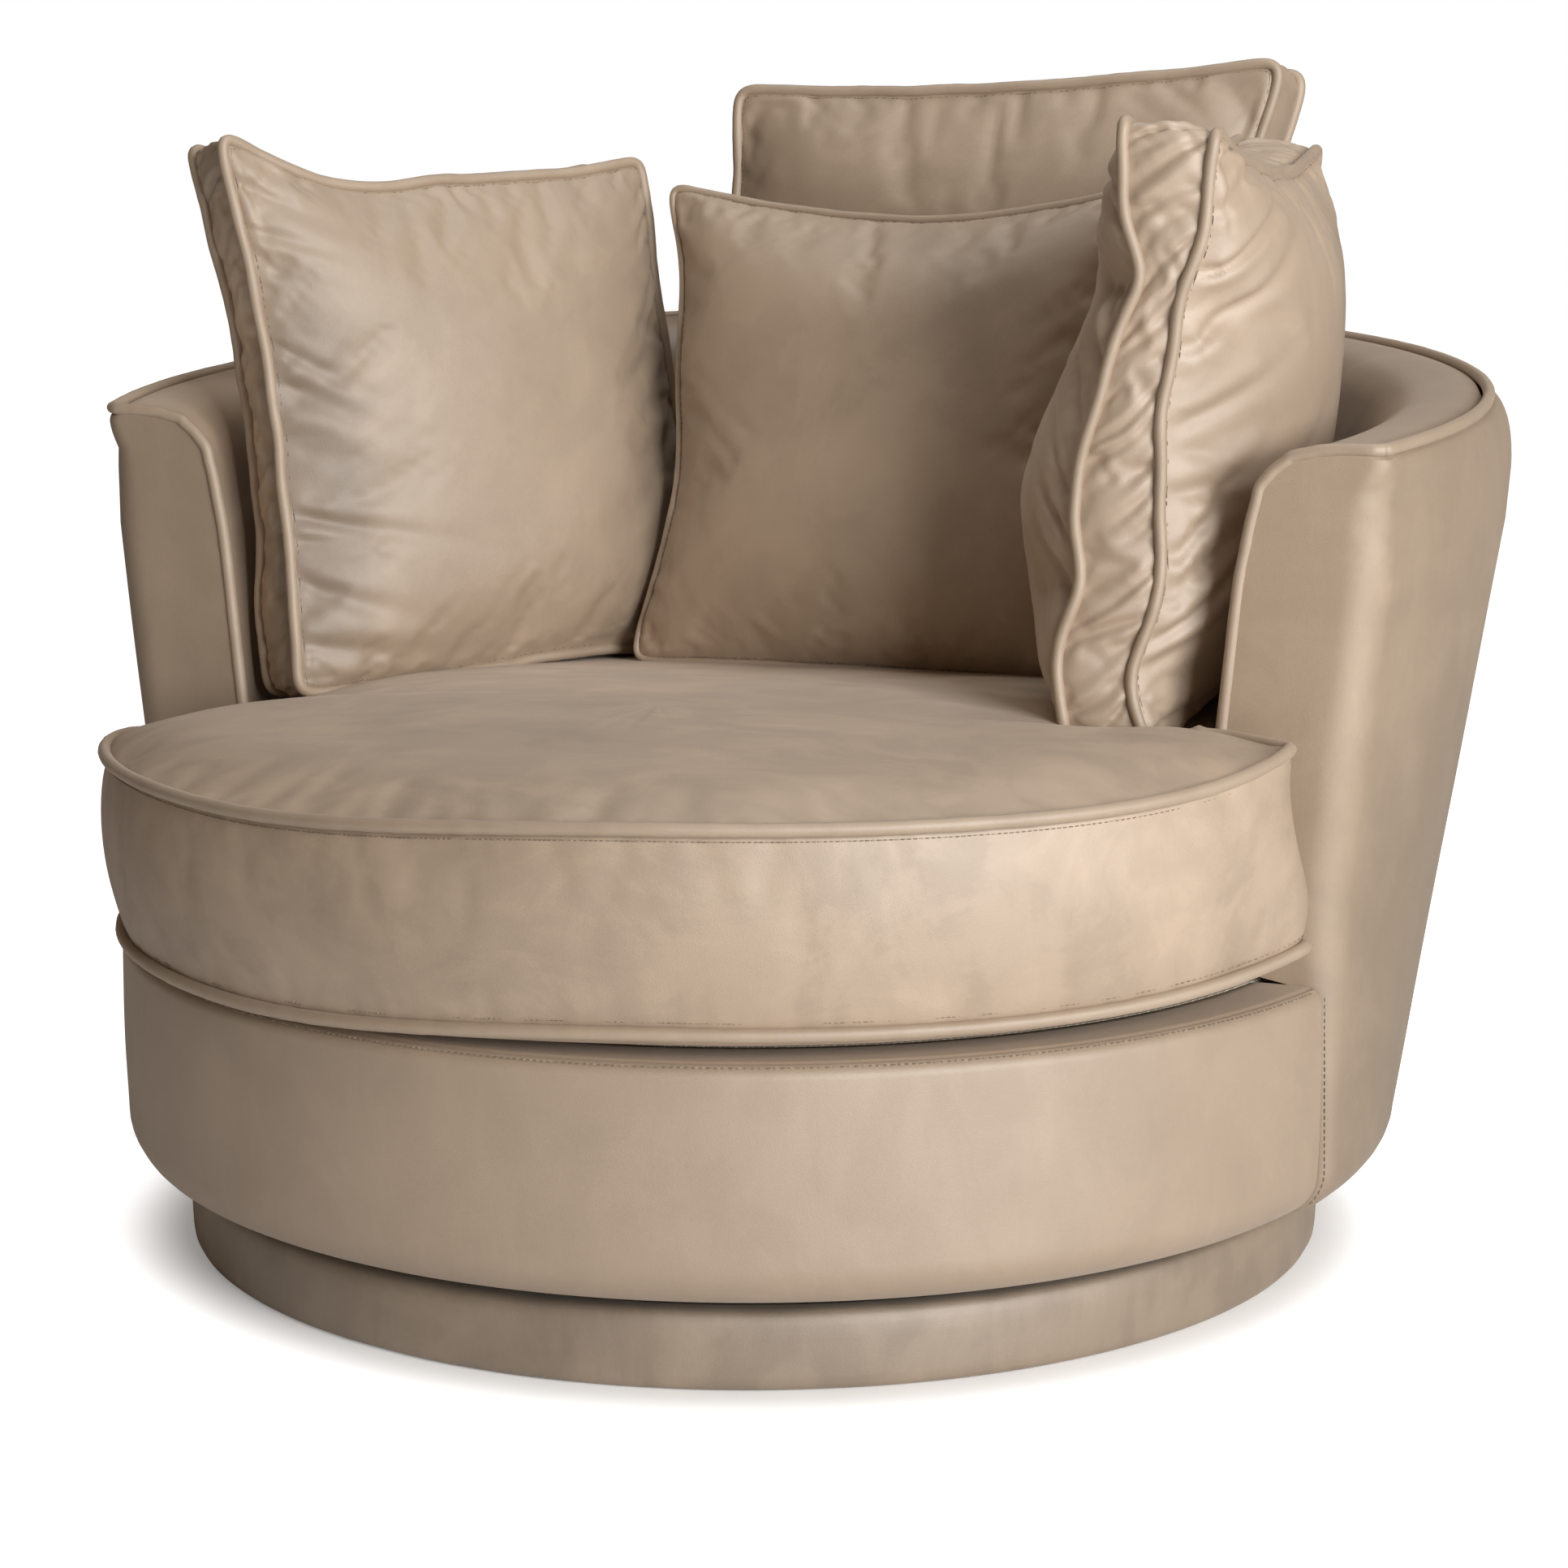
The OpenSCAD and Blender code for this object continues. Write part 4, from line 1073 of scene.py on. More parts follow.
@dataclass
class PlinthSkirt:
    """Fabric stretched round the plinth, with one sewn joint."""

    velvet: Material
    radius: float = 0.475
    height: float = 0.062
    joint: float = -0.32

    def build(self) -> None:
        """Builds and dresses the skirt and its joint."""
        r, h = self.radius, self.height
        profile = [(r - 0.026, 0.004), (r - 0.026, 0.0), (r - 0.016, 0.0), (r - 0.007, 0.0003), (r - 0.0030, 0.0022),
                   (r - 0.0008, 0.0065), (r, 0.013), (r + 0.0004, 0.026), (r + 0.0004, 0.040), (r, 0.050),
                   (r - 0.0016, 0.0565), (r - 0.0045, h - 0.0020), (r - 0.009, h - 0.0002), (r - 0.016, h),
                   (r - 0.026, h - 0.0005), (r - 0.026, h - 0.0045)]
        steps = 360
        verts: list[Point] = []
        for i in range(steps):
            a = 2 * math.pi * i / steps
            for k, (q, z) in enumerate(profile):
                p = before(q, a, z)
                lift = 0.0
                if 3 <= k <= 12:
                    q += 0.0005 * ripple(p, 0.05, 8.8)
                    away = math.atan2(math.sin(a - self.joint), math.cos(a - self.joint)) * r
                    q -= 0.0012 * math.exp(-(away / 0.0022) ** 2)
                    q += 0.0005 * math.exp(-((abs(away) - 0.006) / 0.004) ** 2)
                if k in (11, 12):
                    lift = 0.0006 * ripple(p, 0.07, 1.9)
                verts.append(before(q, a, z + lift))
        faces = grid_faces(steps, len(profile))
        last = (steps - 1) * len(profile)
        faces += [(last + k, last + k + 1, k + 1, k) for k in range(len(profile) - 1)]
        skirt = add_mesh("plinth_skirt", verts, faces)
        dress(skirt, self.velvet, "base", ("plinth_cover",))


# Cushions

# Shares of the way from the middle to the edge where the rings of the seat's crown lie
CROWN_SHARES = (0.06, 0.14, 0.22, 0.30, 0.38, 0.46, 0.54, 0.61, 0.68, 0.74, 0.80, 0.85, 0.895, 0.93, 0.958, 0.98)
# Share of the way down and distance outside the outline of each ring of the seat's border
BORDER_ROWS = ((0.045, 0.0), (0.11, 0.0030), (0.2, 0.0050), (0.3, 0.0058), (0.42, 0.0055), (0.54, 0.0040),
               (0.66, 0.0014), (0.77, -0.0018), (0.87, -0.0052), (0.94, -0.0080), (0.975, -0.0098))
# Share of the way out and height from the lower piping of each ring of the seat's underside
UNDER_ROWS = ((0.965, -0.0042), (0.94, -0.0052), (0.88, -0.0056), (0.7, -0.0058), (0.4, -0.0058))


@dataclass(frozen=True)
class SeatForm:
    """Sizes of the seat cushion in metres, and the rules that give its outline and crown."""

    tub: TubForm
    front_r: float = 0.534
    border: float = 0.150
    crown: float = 0.040
    curl: float = 0.024
    tuck: float = 0.009
    lean: float = 0.016
    splay: float = 0.020

    @property
    def pipe_low(self) -> float:
        """Height of the lower piping."""
        return self.tub.deck_z + 0.0063

    @property
    def pipe_high(self) -> float:
        """Height of the upper piping at the front."""
        return self.pipe_low + self.border

    @property
    def inner_r(self) -> float:
        """Radius of the cushion's back, inside the padding."""
        form = self.tub
        return form.radius(form.deck_z, form.rim_z(form.lean)) - form.wall - 0.004

    @property
    def ear_y(self) -> float:
        """Depth of the ears."""
        return -self.tub.arm_front - 0.070

    @property
    def middle(self) -> np.ndarray:
        """Point that the cushion's rings are drawn round."""
        return np.array([0.0, -0.200])

    def ear_share(self, y: float) -> float:
        """Share of the ear's shape at a depth.

        Args:
            y: The depth.

        Returns:
            The share, from 0 to 1.
        """
        if y > -self.tub.arm_front - 0.016:
            return 0.0
        return clamp((y + self.front_r) / (self.front_r + self.ear_y), 0, 1) ** 4

    def rise(self, x: float) -> float:
        """Rise of the right half, which leans on the arm."""
        return self.lean * (1 - math.cos(math.pi * clamp(x / 0.4 + 0.62, 0, 1))) / 2

    def ear(self, p: np.ndarray) -> float:
        """Curl of the ears up on the right and down on the left."""
        return (self.curl if p[0] > 0 else -self.tuck) * self.ear_share(p[1])

    def spread(self, p: np.ndarray) -> float:
        """Returns how far the foot of the border stands out, which it does at the right ear."""
        return self.splay * self.ear_share(p[1]) if p[0] > 0 else 0.0

    def outline(self, count: int) -> np.ndarray:
        """Draws the cushion's outline.

        Args:
            count: The number of points.

        Returns:
            The closed line, from the middle of the front towards the right.
        """
        form = self.tub
        ear_y, notch_y = self.ear_y, -form.arm_front - 0.008
        y0, r = form.centre_y(form.deck_z), self.front_r
        a_ear = math.acos(-ear_y / r)
        ear_x = r * math.sin(a_ear)
        notch_x = math.sqrt(self.inner_r ** 2 - (y0 - notch_y) ** 2)
        a_notch = math.acos((notch_y - y0) / self.inner_r)
        half = [before(r, a_ear * i / 16.4, 0.0)[:2] for i in range(17)]
        half += [(ear_x - 0.001, ear_y + 0.006), (ear_x - 0.010, ear_y + 0.013),
                 (blend(ear_x, notch_x, 0.55), blend(ear_y + 0.013, notch_y, 0.6)), (notch_x + 0.003, notch_y - 0.005)]
        half += [around(self.inner_r, a_notch * (1 - i / 18), 0.0, y0)[:2] for i in range(1, 19)]
        other = [(self.tuck * self.ear_share(p[1]) - p[0], p[1]) for p in reversed(half[1:-1])]
        return even(spline(np.array(half + other), 8, closed=True), count, closed=True)

    def top_height(self, s: float, y: float, edge: np.ndarray) -> float:
        """Finds the height of the crown.

        Args:
            s: The share of the way from the middle to the edge.
            y: The depth.
            edge: The point of the edge.

        Returns:
            The height.
        """
        calm = blend(1.0, 0.5, clamp((y + 0.120) / 0.330, 0, 1))
        return (self.pipe_high + self.crown * calm * max(0.0, 1 - s ** 2.4) ** 0.8
                + self.rise(edge[0]) * s ** 2 + self.ear(edge) * s ** 5)

    def top_at(self, x: float, y: float) -> float:
        """Finds the height of the crown at a point of its back part, where the cushions stand.

        Args:
            x: The distance to the right of the middle.
            y: The depth.

        Returns:
            The height.
        """
        d = np.array([x, y]) - self.middle
        u = d / np.linalg.norm(d)
        w = np.array([0.0, self.tub.centre_y(self.tub.deck_z)]) - self.middle
        reach = float(u @ w) + math.sqrt(float(u @ w) ** 2 - float(w @ w) + self.inner_r ** 2)
        return self.top_height(float(np.linalg.norm(d)) / reach, y, self.middle + u * reach)


def inflate(obj: Object, pinned: dict[int, float], gathered: list[int], pressure: float,
            ease: float, gather: float, steps: int, cap: float) -> None:
    """Fills a sewn cover: the cloth is simulated between its pinned seams, and the result applied.

    Args:
        obj: The cover, whose seams are where they end up.
        pinned: The seam's points, each with how firmly it is held.
        gathered: The points of the parts that are cut longer than the seam they are sewn to.
        pressure: The filling's pressure.
        ease: Share by which all the cloth is cut too large.
        gather: Share by which the gathered parts are.
        steps: The number of frames.
        cap: The furthest that a point may move.
    """
    mesh = obj.data
    rest = np.empty(len(mesh.vertices) * 3)
    mesh.vertices.foreach_get("co", rest)
    rest = rest.reshape(-1, 3)
    hold = obj.vertex_groups.new(name="seams")
    for index, weight in pinned.items():
        hold.add([index], weight, "REPLACE")
    cut = obj.vertex_groups.new(name="gathers")
    cut.add(gathered, 1.0, "REPLACE")
    cloth = obj.modifiers.new("cover", "CLOTH")
    settings = cloth.settings
    settings.quality = 6
    settings.mass = 0.25
    settings.tension_stiffness = 18.0
    settings.compression_stiffness = 18.0
    settings.shear_stiffness = 6.0
    settings.bending_stiffness = 0.35
    settings.air_damping = 6.0
    settings.use_pressure = True
    settings.uniform_pressure_force = pressure
    settings.effector_weights.gravity = 0.0
    settings.vertex_group_mass = "seams"
    settings.pin_stiffness = 4.0
    settings.vertex_group_shrink = "gathers"
    settings.shrink_min = -ease
    settings.shrink_max = -gather
    cloth.collision_settings.use_collision = False
    cloth.collision_settings.use_self_collision = False
    cloth.point_cache.frame_start = 1
    cloth.point_cache.frame_end = steps + 1
    scene = bpy.context.scene
    for frame in range(1, steps + 1):
        scene.frame_set(frame)
    graph = bpy.context.evaluated_depsgraph_get()
    shown = obj.evaluated_get(graph).to_mesh()
    moved = np.empty(len(mesh.vertices) * 3)
    shown.vertices.foreach_get("co", moved)
    moved = moved.reshape(-1, 3)
    obj.evaluated_get(graph).to_mesh_clear()
    obj.modifiers.remove(cloth)
    scene.frame_set(1)
    shift = moved - rest
    far = np.linalg.norm(shift, axis=1)
    shift *= (np.minimum(far, cap) / np.maximum(far, 1e-9))[:, None]
    mesh.vertices.foreach_set("co", (rest + shift).ravel())
    mesh.update()
    log.info("filled %s: moved %.1f mm on average", obj.name, 1000 * float(far.mean()))


@dataclass
class SeatCushion:
    """The T-shaped seat cushion with its crown, border and two lines of piping."""

    form: SeatForm
    velvet: Material
    piping: Material
    thread: Material
    count: int = 300
    pipe_r: float = 0.0052

    def ring(self, edge: np.ndarray, out: float, height: float, low: bool, foot: float = 0.0) -> list[Point]:
        """Returns the outline moved outwards by out, at a height over the deck.

        Args:
            edge: The outline.
            out: How far outside it the ring lies.
            height: The ring's height before the cushion's lean.
            low: Whether the ring is at the foot, which never dips below the deck.
            foot: Share of the foot's spread.

        Returns:
            The ring's points.
        """
        away = unit_rows(edge - self.form.middle)
        ring = []
        for p, u in zip(edge, away):
            lift = self.form.rise(p[0]) + self.form.ear(p)
            straight = self.form.ear_share(p[1]) if p[0] > 0 and out > 0 else 0.0
            away_by = out * (1 - 1.6 * straight) + foot * self.form.spread(p)
            ring.append((p[0] + away_by * u[0], p[1] + away_by * u[1], height + (max(0.0, lift) if low else lift)))
        return ring

    def build(self) -> None:
        """Builds and dresses the cushion."""
        form, n = self.form, self.count
        edge = form.outline(n)
        mid = form.middle
        rings: list[list[Point]] = []
        for s in CROWN_SHARES:
            ring = []
            for p in edge:
                q = mid + (p - mid) * s
                h = form.top_height(s, q[1], p)
                at = (q[0], q[1], h)
                swell = 0.0035 * ripple(at, 0.21, 5.5) + 0.0012 * ripple(at, 0.07, 1.1)
                ring.append((q[0], q[1], h + swell * (1 - s ** 6)))
            rings.append(ring)
        high, low = form.pipe_high, form.pipe_low
        rings.append(self.ring(edge, -0.0035, high + 0.0018, False))
        seam_top = len(rings)
        rings.append(self.ring(edge, -0.0015, high - 0.0010, False))
        for f, out in BORDER_ROWS:
            rings.append(self.ring(edge, out, blend(high - 0.004, low, f), False, min(1.0, 1.15 * f)))
        seam_low = len(rings)
        rings.append(self.ring(edge, -0.0105, low + 0.001, True, 1.0))
        for s, h in UNDER_ROWS:
            rings.append([(mid[0] + (p[0] - mid[0]) * s, mid[1] + (p[1] - mid[1]) * s,
                           low + h + max(0.0, form.rise(p[0]) + form.ear(p)) * s ** 7) for p in edge])
        verts = [p for ring in rings for p in ring]
        faces = grid_faces(len(rings), n, closed=True)
        top = len(verts)
        verts.append((mid[0], mid[1], form.top_height(0, mid[1], mid)))
        verts.append((mid[0], mid[1], low + UNDER_ROWS[-1][1]))
        faces += [(top, (j + 1) % n, j) for j in range(n)]
        last = (len(rings) - 1) * n
        faces += [(top + 1, last + j, last + (j + 1) % n) for j in range(n)]
        cushion = add_mesh("seat_velvet", verts, faces)
        pinned = {seam_top * n + j: 1.0 for j in range(n)}
        pinned.update({i: 1.0 for i in range(seam_low * n, len(rings) * n)})
        pinned[top + 1] = 1.0
        gathered = list(range((seam_top + 1) * n, seam_low * n))
        inflate(cushion, pinned, gathered, pressure=1.2, ease=0.006, gather=0.012, steps=12, cap=0.007)
        add_subdivision(cushion)
        dress(cushion, self.velvet, replaced=("seat_cushion",))
        for name, out, height, flat in (("seat_cord_top", 0.0030, high - 0.0010, False),
                                        ("seat_cord_low", -0.0068, low + 0.0005, True)):
            line = spline(np.array(self.ring(edge, out, height, flat, float(flat))), 2, closed=True)
            dress(lay_cord(name, line, self.pipe_r, 0.06), self.piping)
        self.sew(edge, 0.0012, high - 0.0098, False, "seat_seam_top")
        self.sew(edge, -0.0079, low + 0.0088, True, "seat_seam_low")

    def sew(self, edge: np.ndarray, out: float, height: float, low: bool, name: str) -> None:
        """Lays the stitches beside a line of piping.

        Args:
            edge: The outline.
            out: How far outside it the stitches lie.
            height: Their height before the cushion's lean.
            low: Whether they are at the foot.
            name: The object's name.
        """
        line = np.array(self.ring(edge, out, height, low, float(low)))
        outward = np.hstack([unit_rows(edge - self.form.middle), np.zeros((len(edge), 1))])
        dress(stitches(name, line, outward, radius=0.00045), self.thread)


def add_subdivision(obj: Object) -> None:
    """Adds one level of subdivision to a soft piece.

    Args:
        obj: The piece.
    """
    smooth = obj.modifiers.new("rounding", "SUBSURF")
    smooth.levels = 1
    smooth.render_levels = 1


@dataclass(frozen=True)
class Pose:
    """How a loose cushion stands on the seat, in metres and degrees."""

    foot: tuple[float, float]
    lift: float
    turn: float
    tip: float
    roll: float

    def matrix(self, seat: SeatForm, height: float) -> Matrix:
        """Finds the place of a cushion that is made round its middle.

        Args:
            seat: The seat cushion's form.
            height: The cushion's height.

        Returns:
            The matrix.
        """
        where = Vector((self.foot[0], self.foot[1], seat.top_at(*self.foot) + self.lift))
        return (Matrix.Translation(where) @ Matrix.Rotation(math.radians(self.turn), 4, "Z")
                @ Matrix.Rotation(math.radians(-self.tip), 4, "X") @ Matrix.Rotation(math.radians(self.roll), 4, "Y")
                @ Matrix.Translation((0, 0, height / 2)))


@dataclass(frozen=True)
class Shift:
    """A place of a cushion whose cloth is pushed out of its plain shape, in metres."""

    at: tuple[float, float]
    move: Point
    reach: tuple[float, float]
    front: float = 1.0
    rear: float = 1.0


@dataclass(frozen=True)
class Pulls:
    """Height in metres of the folds that start at each side's seam, and how they lie."""

    foot: float = 0.0006
    right: float = 0.0012
    top: float = 0.0009
    left: float = 0.0012
    reach: float = 0.075
    spacing: float = 0.036
    slant: float = 0.35
    slant_left: float = -0.35
    gusset: float = 0.0016
    gusset_spacing: float = 0.026
    gusset_slant: float = 0.35


def press_folds(depth: np.ndarray, along: np.ndarray, run: float, height: float, reach: float, spacing: float,
                slant: float, seed: int, closed: bool = False) -> np.ndarray:
    """Finds the relief of the folds that start at a seam, each with its own place, length, width and slant.

    Args:
        depth: How far each point lies from the seam.
        along: The place of each point along the seam.
        run: The seam's length.
        height: The height of the strongest folds.
        reach: The length of the longest folds.
        spacing: The usual distance from fold to fold.
        slant: How far a fold runs along the seam for each metre that it runs into the cloth.
        seed: The number that the folds' places come from.
        closed: Whether the seam runs back to its start.

    Returns:
        The height over the smooth cloth at each point.
    """
    pick = np.random.default_rng(seed)
    relief = np.zeros_like(depth)
    at = 0.4 * spacing
    while at < run:
        strength = height * pick.uniform(0.25, 1.0)
        length = reach * pick.uniform(0.35, 1.0)
        width = spacing * pick.uniform(0.14, 0.26) * (1.0 + depth / (0.9 * reach))
        lean = slant + pick.normal(0.0, 0.22)
        u = along - at - lean * depth
        if closed:
            u = (u + run / 2) % run - run / 2
        u = u / width
        fade = (1.0 - np.exp(-depth / 0.005)) * np.exp(-(depth / length) ** 2)
        relief += strength * fade * (0.55 * np.exp(-((u - 1.5) / 1.1) ** 2) + 0.4 * np.exp(-((u + 1.5) / 1.2) ** 2)
                                     - np.exp(-(u / 0.85) ** 2))
        at += spacing * pick.uniform(0.45, 1.6)
    return relief


def finer(net: np.ndarray, factor: int, closed: bool) -> np.ndarray:
    """Draws a net of points more finely, on smooth lines through its points.

    Args:
        net: The net, as rows of points.
        factor: How many times finer it gets.
        closed: Whether each row runs back to its start.

    Returns:
        The finer net.
    """
    rows, cols = net.shape[:2]
    wide = spline(net.transpose(1, 0, 2).reshape(cols, rows * 3), factor, closed)
    wide = wide.reshape(len(wide), rows, 3).transpose(1, 0, 2)
    tall = spline(wide.reshape(rows, wide.shape[1] * 3), factor)
    return tall.reshape(len(tall), wide.shape[1], 3)


def rim_of(net: np.ndarray) -> np.ndarray:
    """Returns the outer line of a square net, from its first corner round to it again."""
    n = len(net) - 1
    return np.concatenate([net[0, :n], net[:n, n], net[n, n:0:-1], net[n:0:-1, 0]])


def inner_rim(net: np.ndarray, inside: int) -> np.ndarray:
    """Finds, for each point of a square net's outer line, the point that lies some cells inside it.

    Args:
        net: The net.
        inside: How many cells inside.

    Returns:
        The points, in the outer line's order.
    """
    n = len(net) - 1
    i, j = np.meshgrid(np.arange(n + 1), np.arange(n + 1), indexing="ij")
    return rim_of(net[np.clip(i, inside, n - inside), np.clip(j, inside, n - inside)])


def set_rim(net: np.ndarray, line: np.ndarray) -> None:
    """Lays the outer line of a square net on a line of as many points.

    Args:
        net: The net, which is changed.
        line: The line's points.
    """
    n = len(net) - 1
    net[0, :n], net[:n, n] = line[:n], line[n:2 * n]
    net[n, n:0:-1], net[n:0:-1, 0] = line[2 * n:3 * n], line[3 * n:]


def normals_of(net: np.ndarray, closed: bool, away: np.ndarray) -> np.ndarray:
    """Finds the directions out of a net.

    Args:
        net: The net.
        closed: Whether each row runs back to its start.
        away: Directions on the side that is out.

    Returns:
        The directions, each one long.
    """
    across = (np.roll(net, -1, axis=1) - np.roll(net, 1, axis=1)) if closed else np.gradient(net, axis=1)
    out = np.cross(across, np.gradient(net, axis=0))
    out /= np.linalg.norm(out, axis=2, keepdims=True) + 1e-12
    return out * np.where((out * away).sum(axis=2, keepdims=True) < 0, -1.0, 1.0)


@dataclass
class BoxCushion:
    """A loose cushion of two crowned panels sewn to a gusset with piping, or edge to edge."""

    name: str
    node: str
    seat: SeatForm
    pose: Pose
    velvet: Material
    piping: Material
    thread: Material
    width: float
    height: float
    thick: float
    crown: float
    rear: float
    ears: float
    sag: float
    taper: float = 0.0
    skew: float = 0.0
    steps: int = 56
    gusset_rows: int = 8
    factor: int = 2
    wave: float = 0.0015
    gather: float = 0.03
    ease: float = 0.012
    pressure: float = 3.0
    cap: float = 0.014
    pipe_r: float = 0.0048
    seed: int = 1
    corner_round: int = 9
    pulls: Pulls = Pulls()
    shifts: tuple[Shift, ...] = ()

    def edge_point(self, k: int, t: float) -> np.ndarray:
        """Finds a point of the outline in the cushion's own plane.

        Args:
            k: The side: 0 the foot, 1 the right, 2 the top, 3 the left.
            t: The place along it from -1 to 1.

        Returns:
            The point as width and height.
        """
        g = 1 - abs(t) ** 2.5
        e = 1 - self.ears * g
        x, z = ((t, -1 + 0.3 * (1 - e)), (e, t), (t, e - self.sag * g), (-e, t))[k]
        tight = 1 - self.taper * (1 - z) / 2
        return np.array([x * self.width / 2 * tight + self.skew * z * self.height / 2, z * self.height / 2])

    def panel(self, side: int) -> np.ndarray:
        """Builds the net of one panel, before it is filled.

        Args:
            side: -1 for the front panel and 1 for the rear one.

        Returns:
            The points, row by row from the foot up.
        """
        n = self.steps
        rise = self.crown if side < 0 else self.rear
        net = np.zeros((n + 1, n + 1, 3))
        corner = {(a, b): self.edge_point(0 if b < 0 else 2, a) for a in (-1, 1) for b in (-1, 1)}
        marks = [math.sin(math.pi / 2 * (-1 + 2 * i / n)) * 0.25 + (-1 + 2 * i / n) * 0.75 for i in range(n + 1)]
        for i, v in enumerate(marks):
            for j, u in enumerate(marks):
                flat = ((1 - v) / 2 * self.edge_point(0, u) + (1 + v) / 2 * self.edge_point(2, u)
                        + (1 - u) / 2 * self.edge_point(3, v) + (1 + u) / 2 * self.edge_point(1, v)
                        - (1 - u) * (1 - v) / 4 * corner[-1, -1] - (1 + u) * (1 - v) / 4 * corner[1, -1]
                        - (1 - u) * (1 + v) / 4 * corner[-1, 1] - (1 + u) * (1 + v) / 4 * corner[1, 1])
                dome = max(0.0, (1 - abs(u) ** 2.6) * (1 - abs(v) ** 2.6)) ** 0.55
                p = np.array([flat[0], side * (self.thick / 2 + rise * dome), flat[1]])
                p[1] += side * 2.0 * self.wave * ripple(tuple(p), 0.12, self.seed + 4 * side) * min(1.0, 3 * dome)
                for shift in self.shifts:
                    share = shift.front if side < 0 else shift.rear
                    near = math.exp(-((u - shift.at[0]) / shift.reach[0]) ** 2
                                    - ((v - shift.at[1]) / shift.reach[1]) ** 2)
                    p += share * near * np.array(shift.move)
                net[i, j] = p
        return net

    def seam(self, net: np.ndarray, seed: float) -> np.ndarray:
        """Rounds the panel's corners and lets its seam run a little unevenly, as gathered cloth pulls it.

        Args:
            net: The panel's net.
            seed: The number that the unevenness comes from.

        Returns:
            The seam's points.
        """
        line = rim_of(net)
        for _ in range(self.corner_round):
            line = 0.5 * line + 0.25 * (np.roll(line, 1, axis=0) + np.roll(line, -1, axis=0))
        for p in line:
            place = tuple(p)
            p[1] += 1.6 * self.wave * ripple(place, 0.055, seed)
            p += p / (np.linalg.norm(p) + 1e-9) * 0.9 * self.wave * ripple(place, 0.045, seed + 2)
        return line

    def follow(self, net: np.ndarray, line: np.ndarray) -> None:
        """Lays the panel's outer line on the seam, and lets the cloth inside it follow smoothly.

        Args:
            net: The panel's net, which is changed.
            line: The seam's points.
        """
        move = np.zeros_like(net)
        set_rim(move, line - rim_of(net))
        for _ in range(150):
            move[1:-1, 1:-1] = (move[:-2, 1:-1] + move[2:, 1:-1] + move[1:-1, :-2] + move[1:-1, 2:]) / 4
        net += move

    def nets(self) -> list[np.ndarray]:
        """Builds the nets of the two panels and of the gusset between them, before they are filled.

        Returns:
            The front net, the rear net and, unless the panels meet, the gusset's net.
        """
        front, rear = self.panel(-1), self.panel(1)
        line_f, line_r = self.seam(front, self.seed), self.seam(rear, self.seed + 9)
        if self.gusset_rows == 0:
            line_f = line_r = (line_f + line_r) / 2 * np.array([1, 0.2, 1])
        self.follow(front, line_f)
        self.follow(rear, line_r)
        if self.gusset_rows == 0:
            return [front, rear]
        rows = []
        for r in range(self.gusset_rows + 1):
            f = r / self.gusset_rows
            ring = line_f + (line_r - line_f) * f
            rows.append(ring + unit_rows(ring * FLAT) * 0.005 * math.sin(math.pi * f))
        rows[0], rows[-1] = line_f, line_r
        return [front, rear, np.array(rows)]

    def sewn(self, nets: list[np.ndarray], name: str) -> tuple[Object, np.ndarray]:
        """Sews nets into one mesh, whose shared points are welded.

        Args:
            nets: The nets.
            name: The object's name.

        Returns:
            The object, and for each point of the nets in order its number in the mesh.
        """
        points = np.concatenate([net.reshape(-1, 3) for net in nets])
        found, number = np.unique(np.round(points, 7), axis=0, return_inverse=True)
        number = number.ravel()
        faces, first = [], 0
        for k, net in enumerate(nets):
            faces += grid_faces(net.shape[0], net.shape[1], first, closed=k == 2)
            first += net.shape[0] * net.shape[1]
        return add_mesh(name, found, [tuple(int(number[v]) for v in face) for face in faces]), number

    def crease_panel(self, net: np.ndarray, side: int) -> None:
        """Presses the folds into a panel, from its seams inwards.

        Args:
            net: The panel's net, which is changed.
            side: -1 for the front panel and 1 for the rear one.
        """
        n = len(net) - 1
        out = normals_of(net, False, np.array([0.0, float(side), 0.0]))
        pulls = self.pulls
        up, across = np.meshgrid(np.linspace(0, self.height, n + 1), np.linspace(0, self.width, n + 1), indexing="ij")
        relief = np.zeros_like(up)
        edges = ((pulls.foot, up, across, self.width, 0.0), (pulls.top, self.height - up, across, self.width, 0.0),
                 (pulls.left, across, up, self.height, pulls.slant_left),
                 (pulls.right, self.width - across, up, self.height, pulls.slant))
        for k, (height, depth, along, run, slant) in enumerate(edges):
            relief += press_folds(depth, along, run, height, pulls.reach, pulls.spacing, slant,
                                  10 * self.seed + 2 * k + (side > 0))
            relief += press_folds(depth, along, run, 0.3 * height, 0.012, 0.011, slant, 90 + self.seed + k)
        for i in range(1, n):
            for j in range(1, n):
                calm = min(1.0, min(i, j, n - i, n - j) / 8)
                p = tuple(net[i, j])
                relief[i, j] += calm * (0.0009 * ripple(p, 0.085, self.seed) + 0.0002 * ripple(p, 0.030, self.seed + 1))
        net[1:-1, 1:-1] += (relief[..., None] * out)[1:-1, 1:-1]

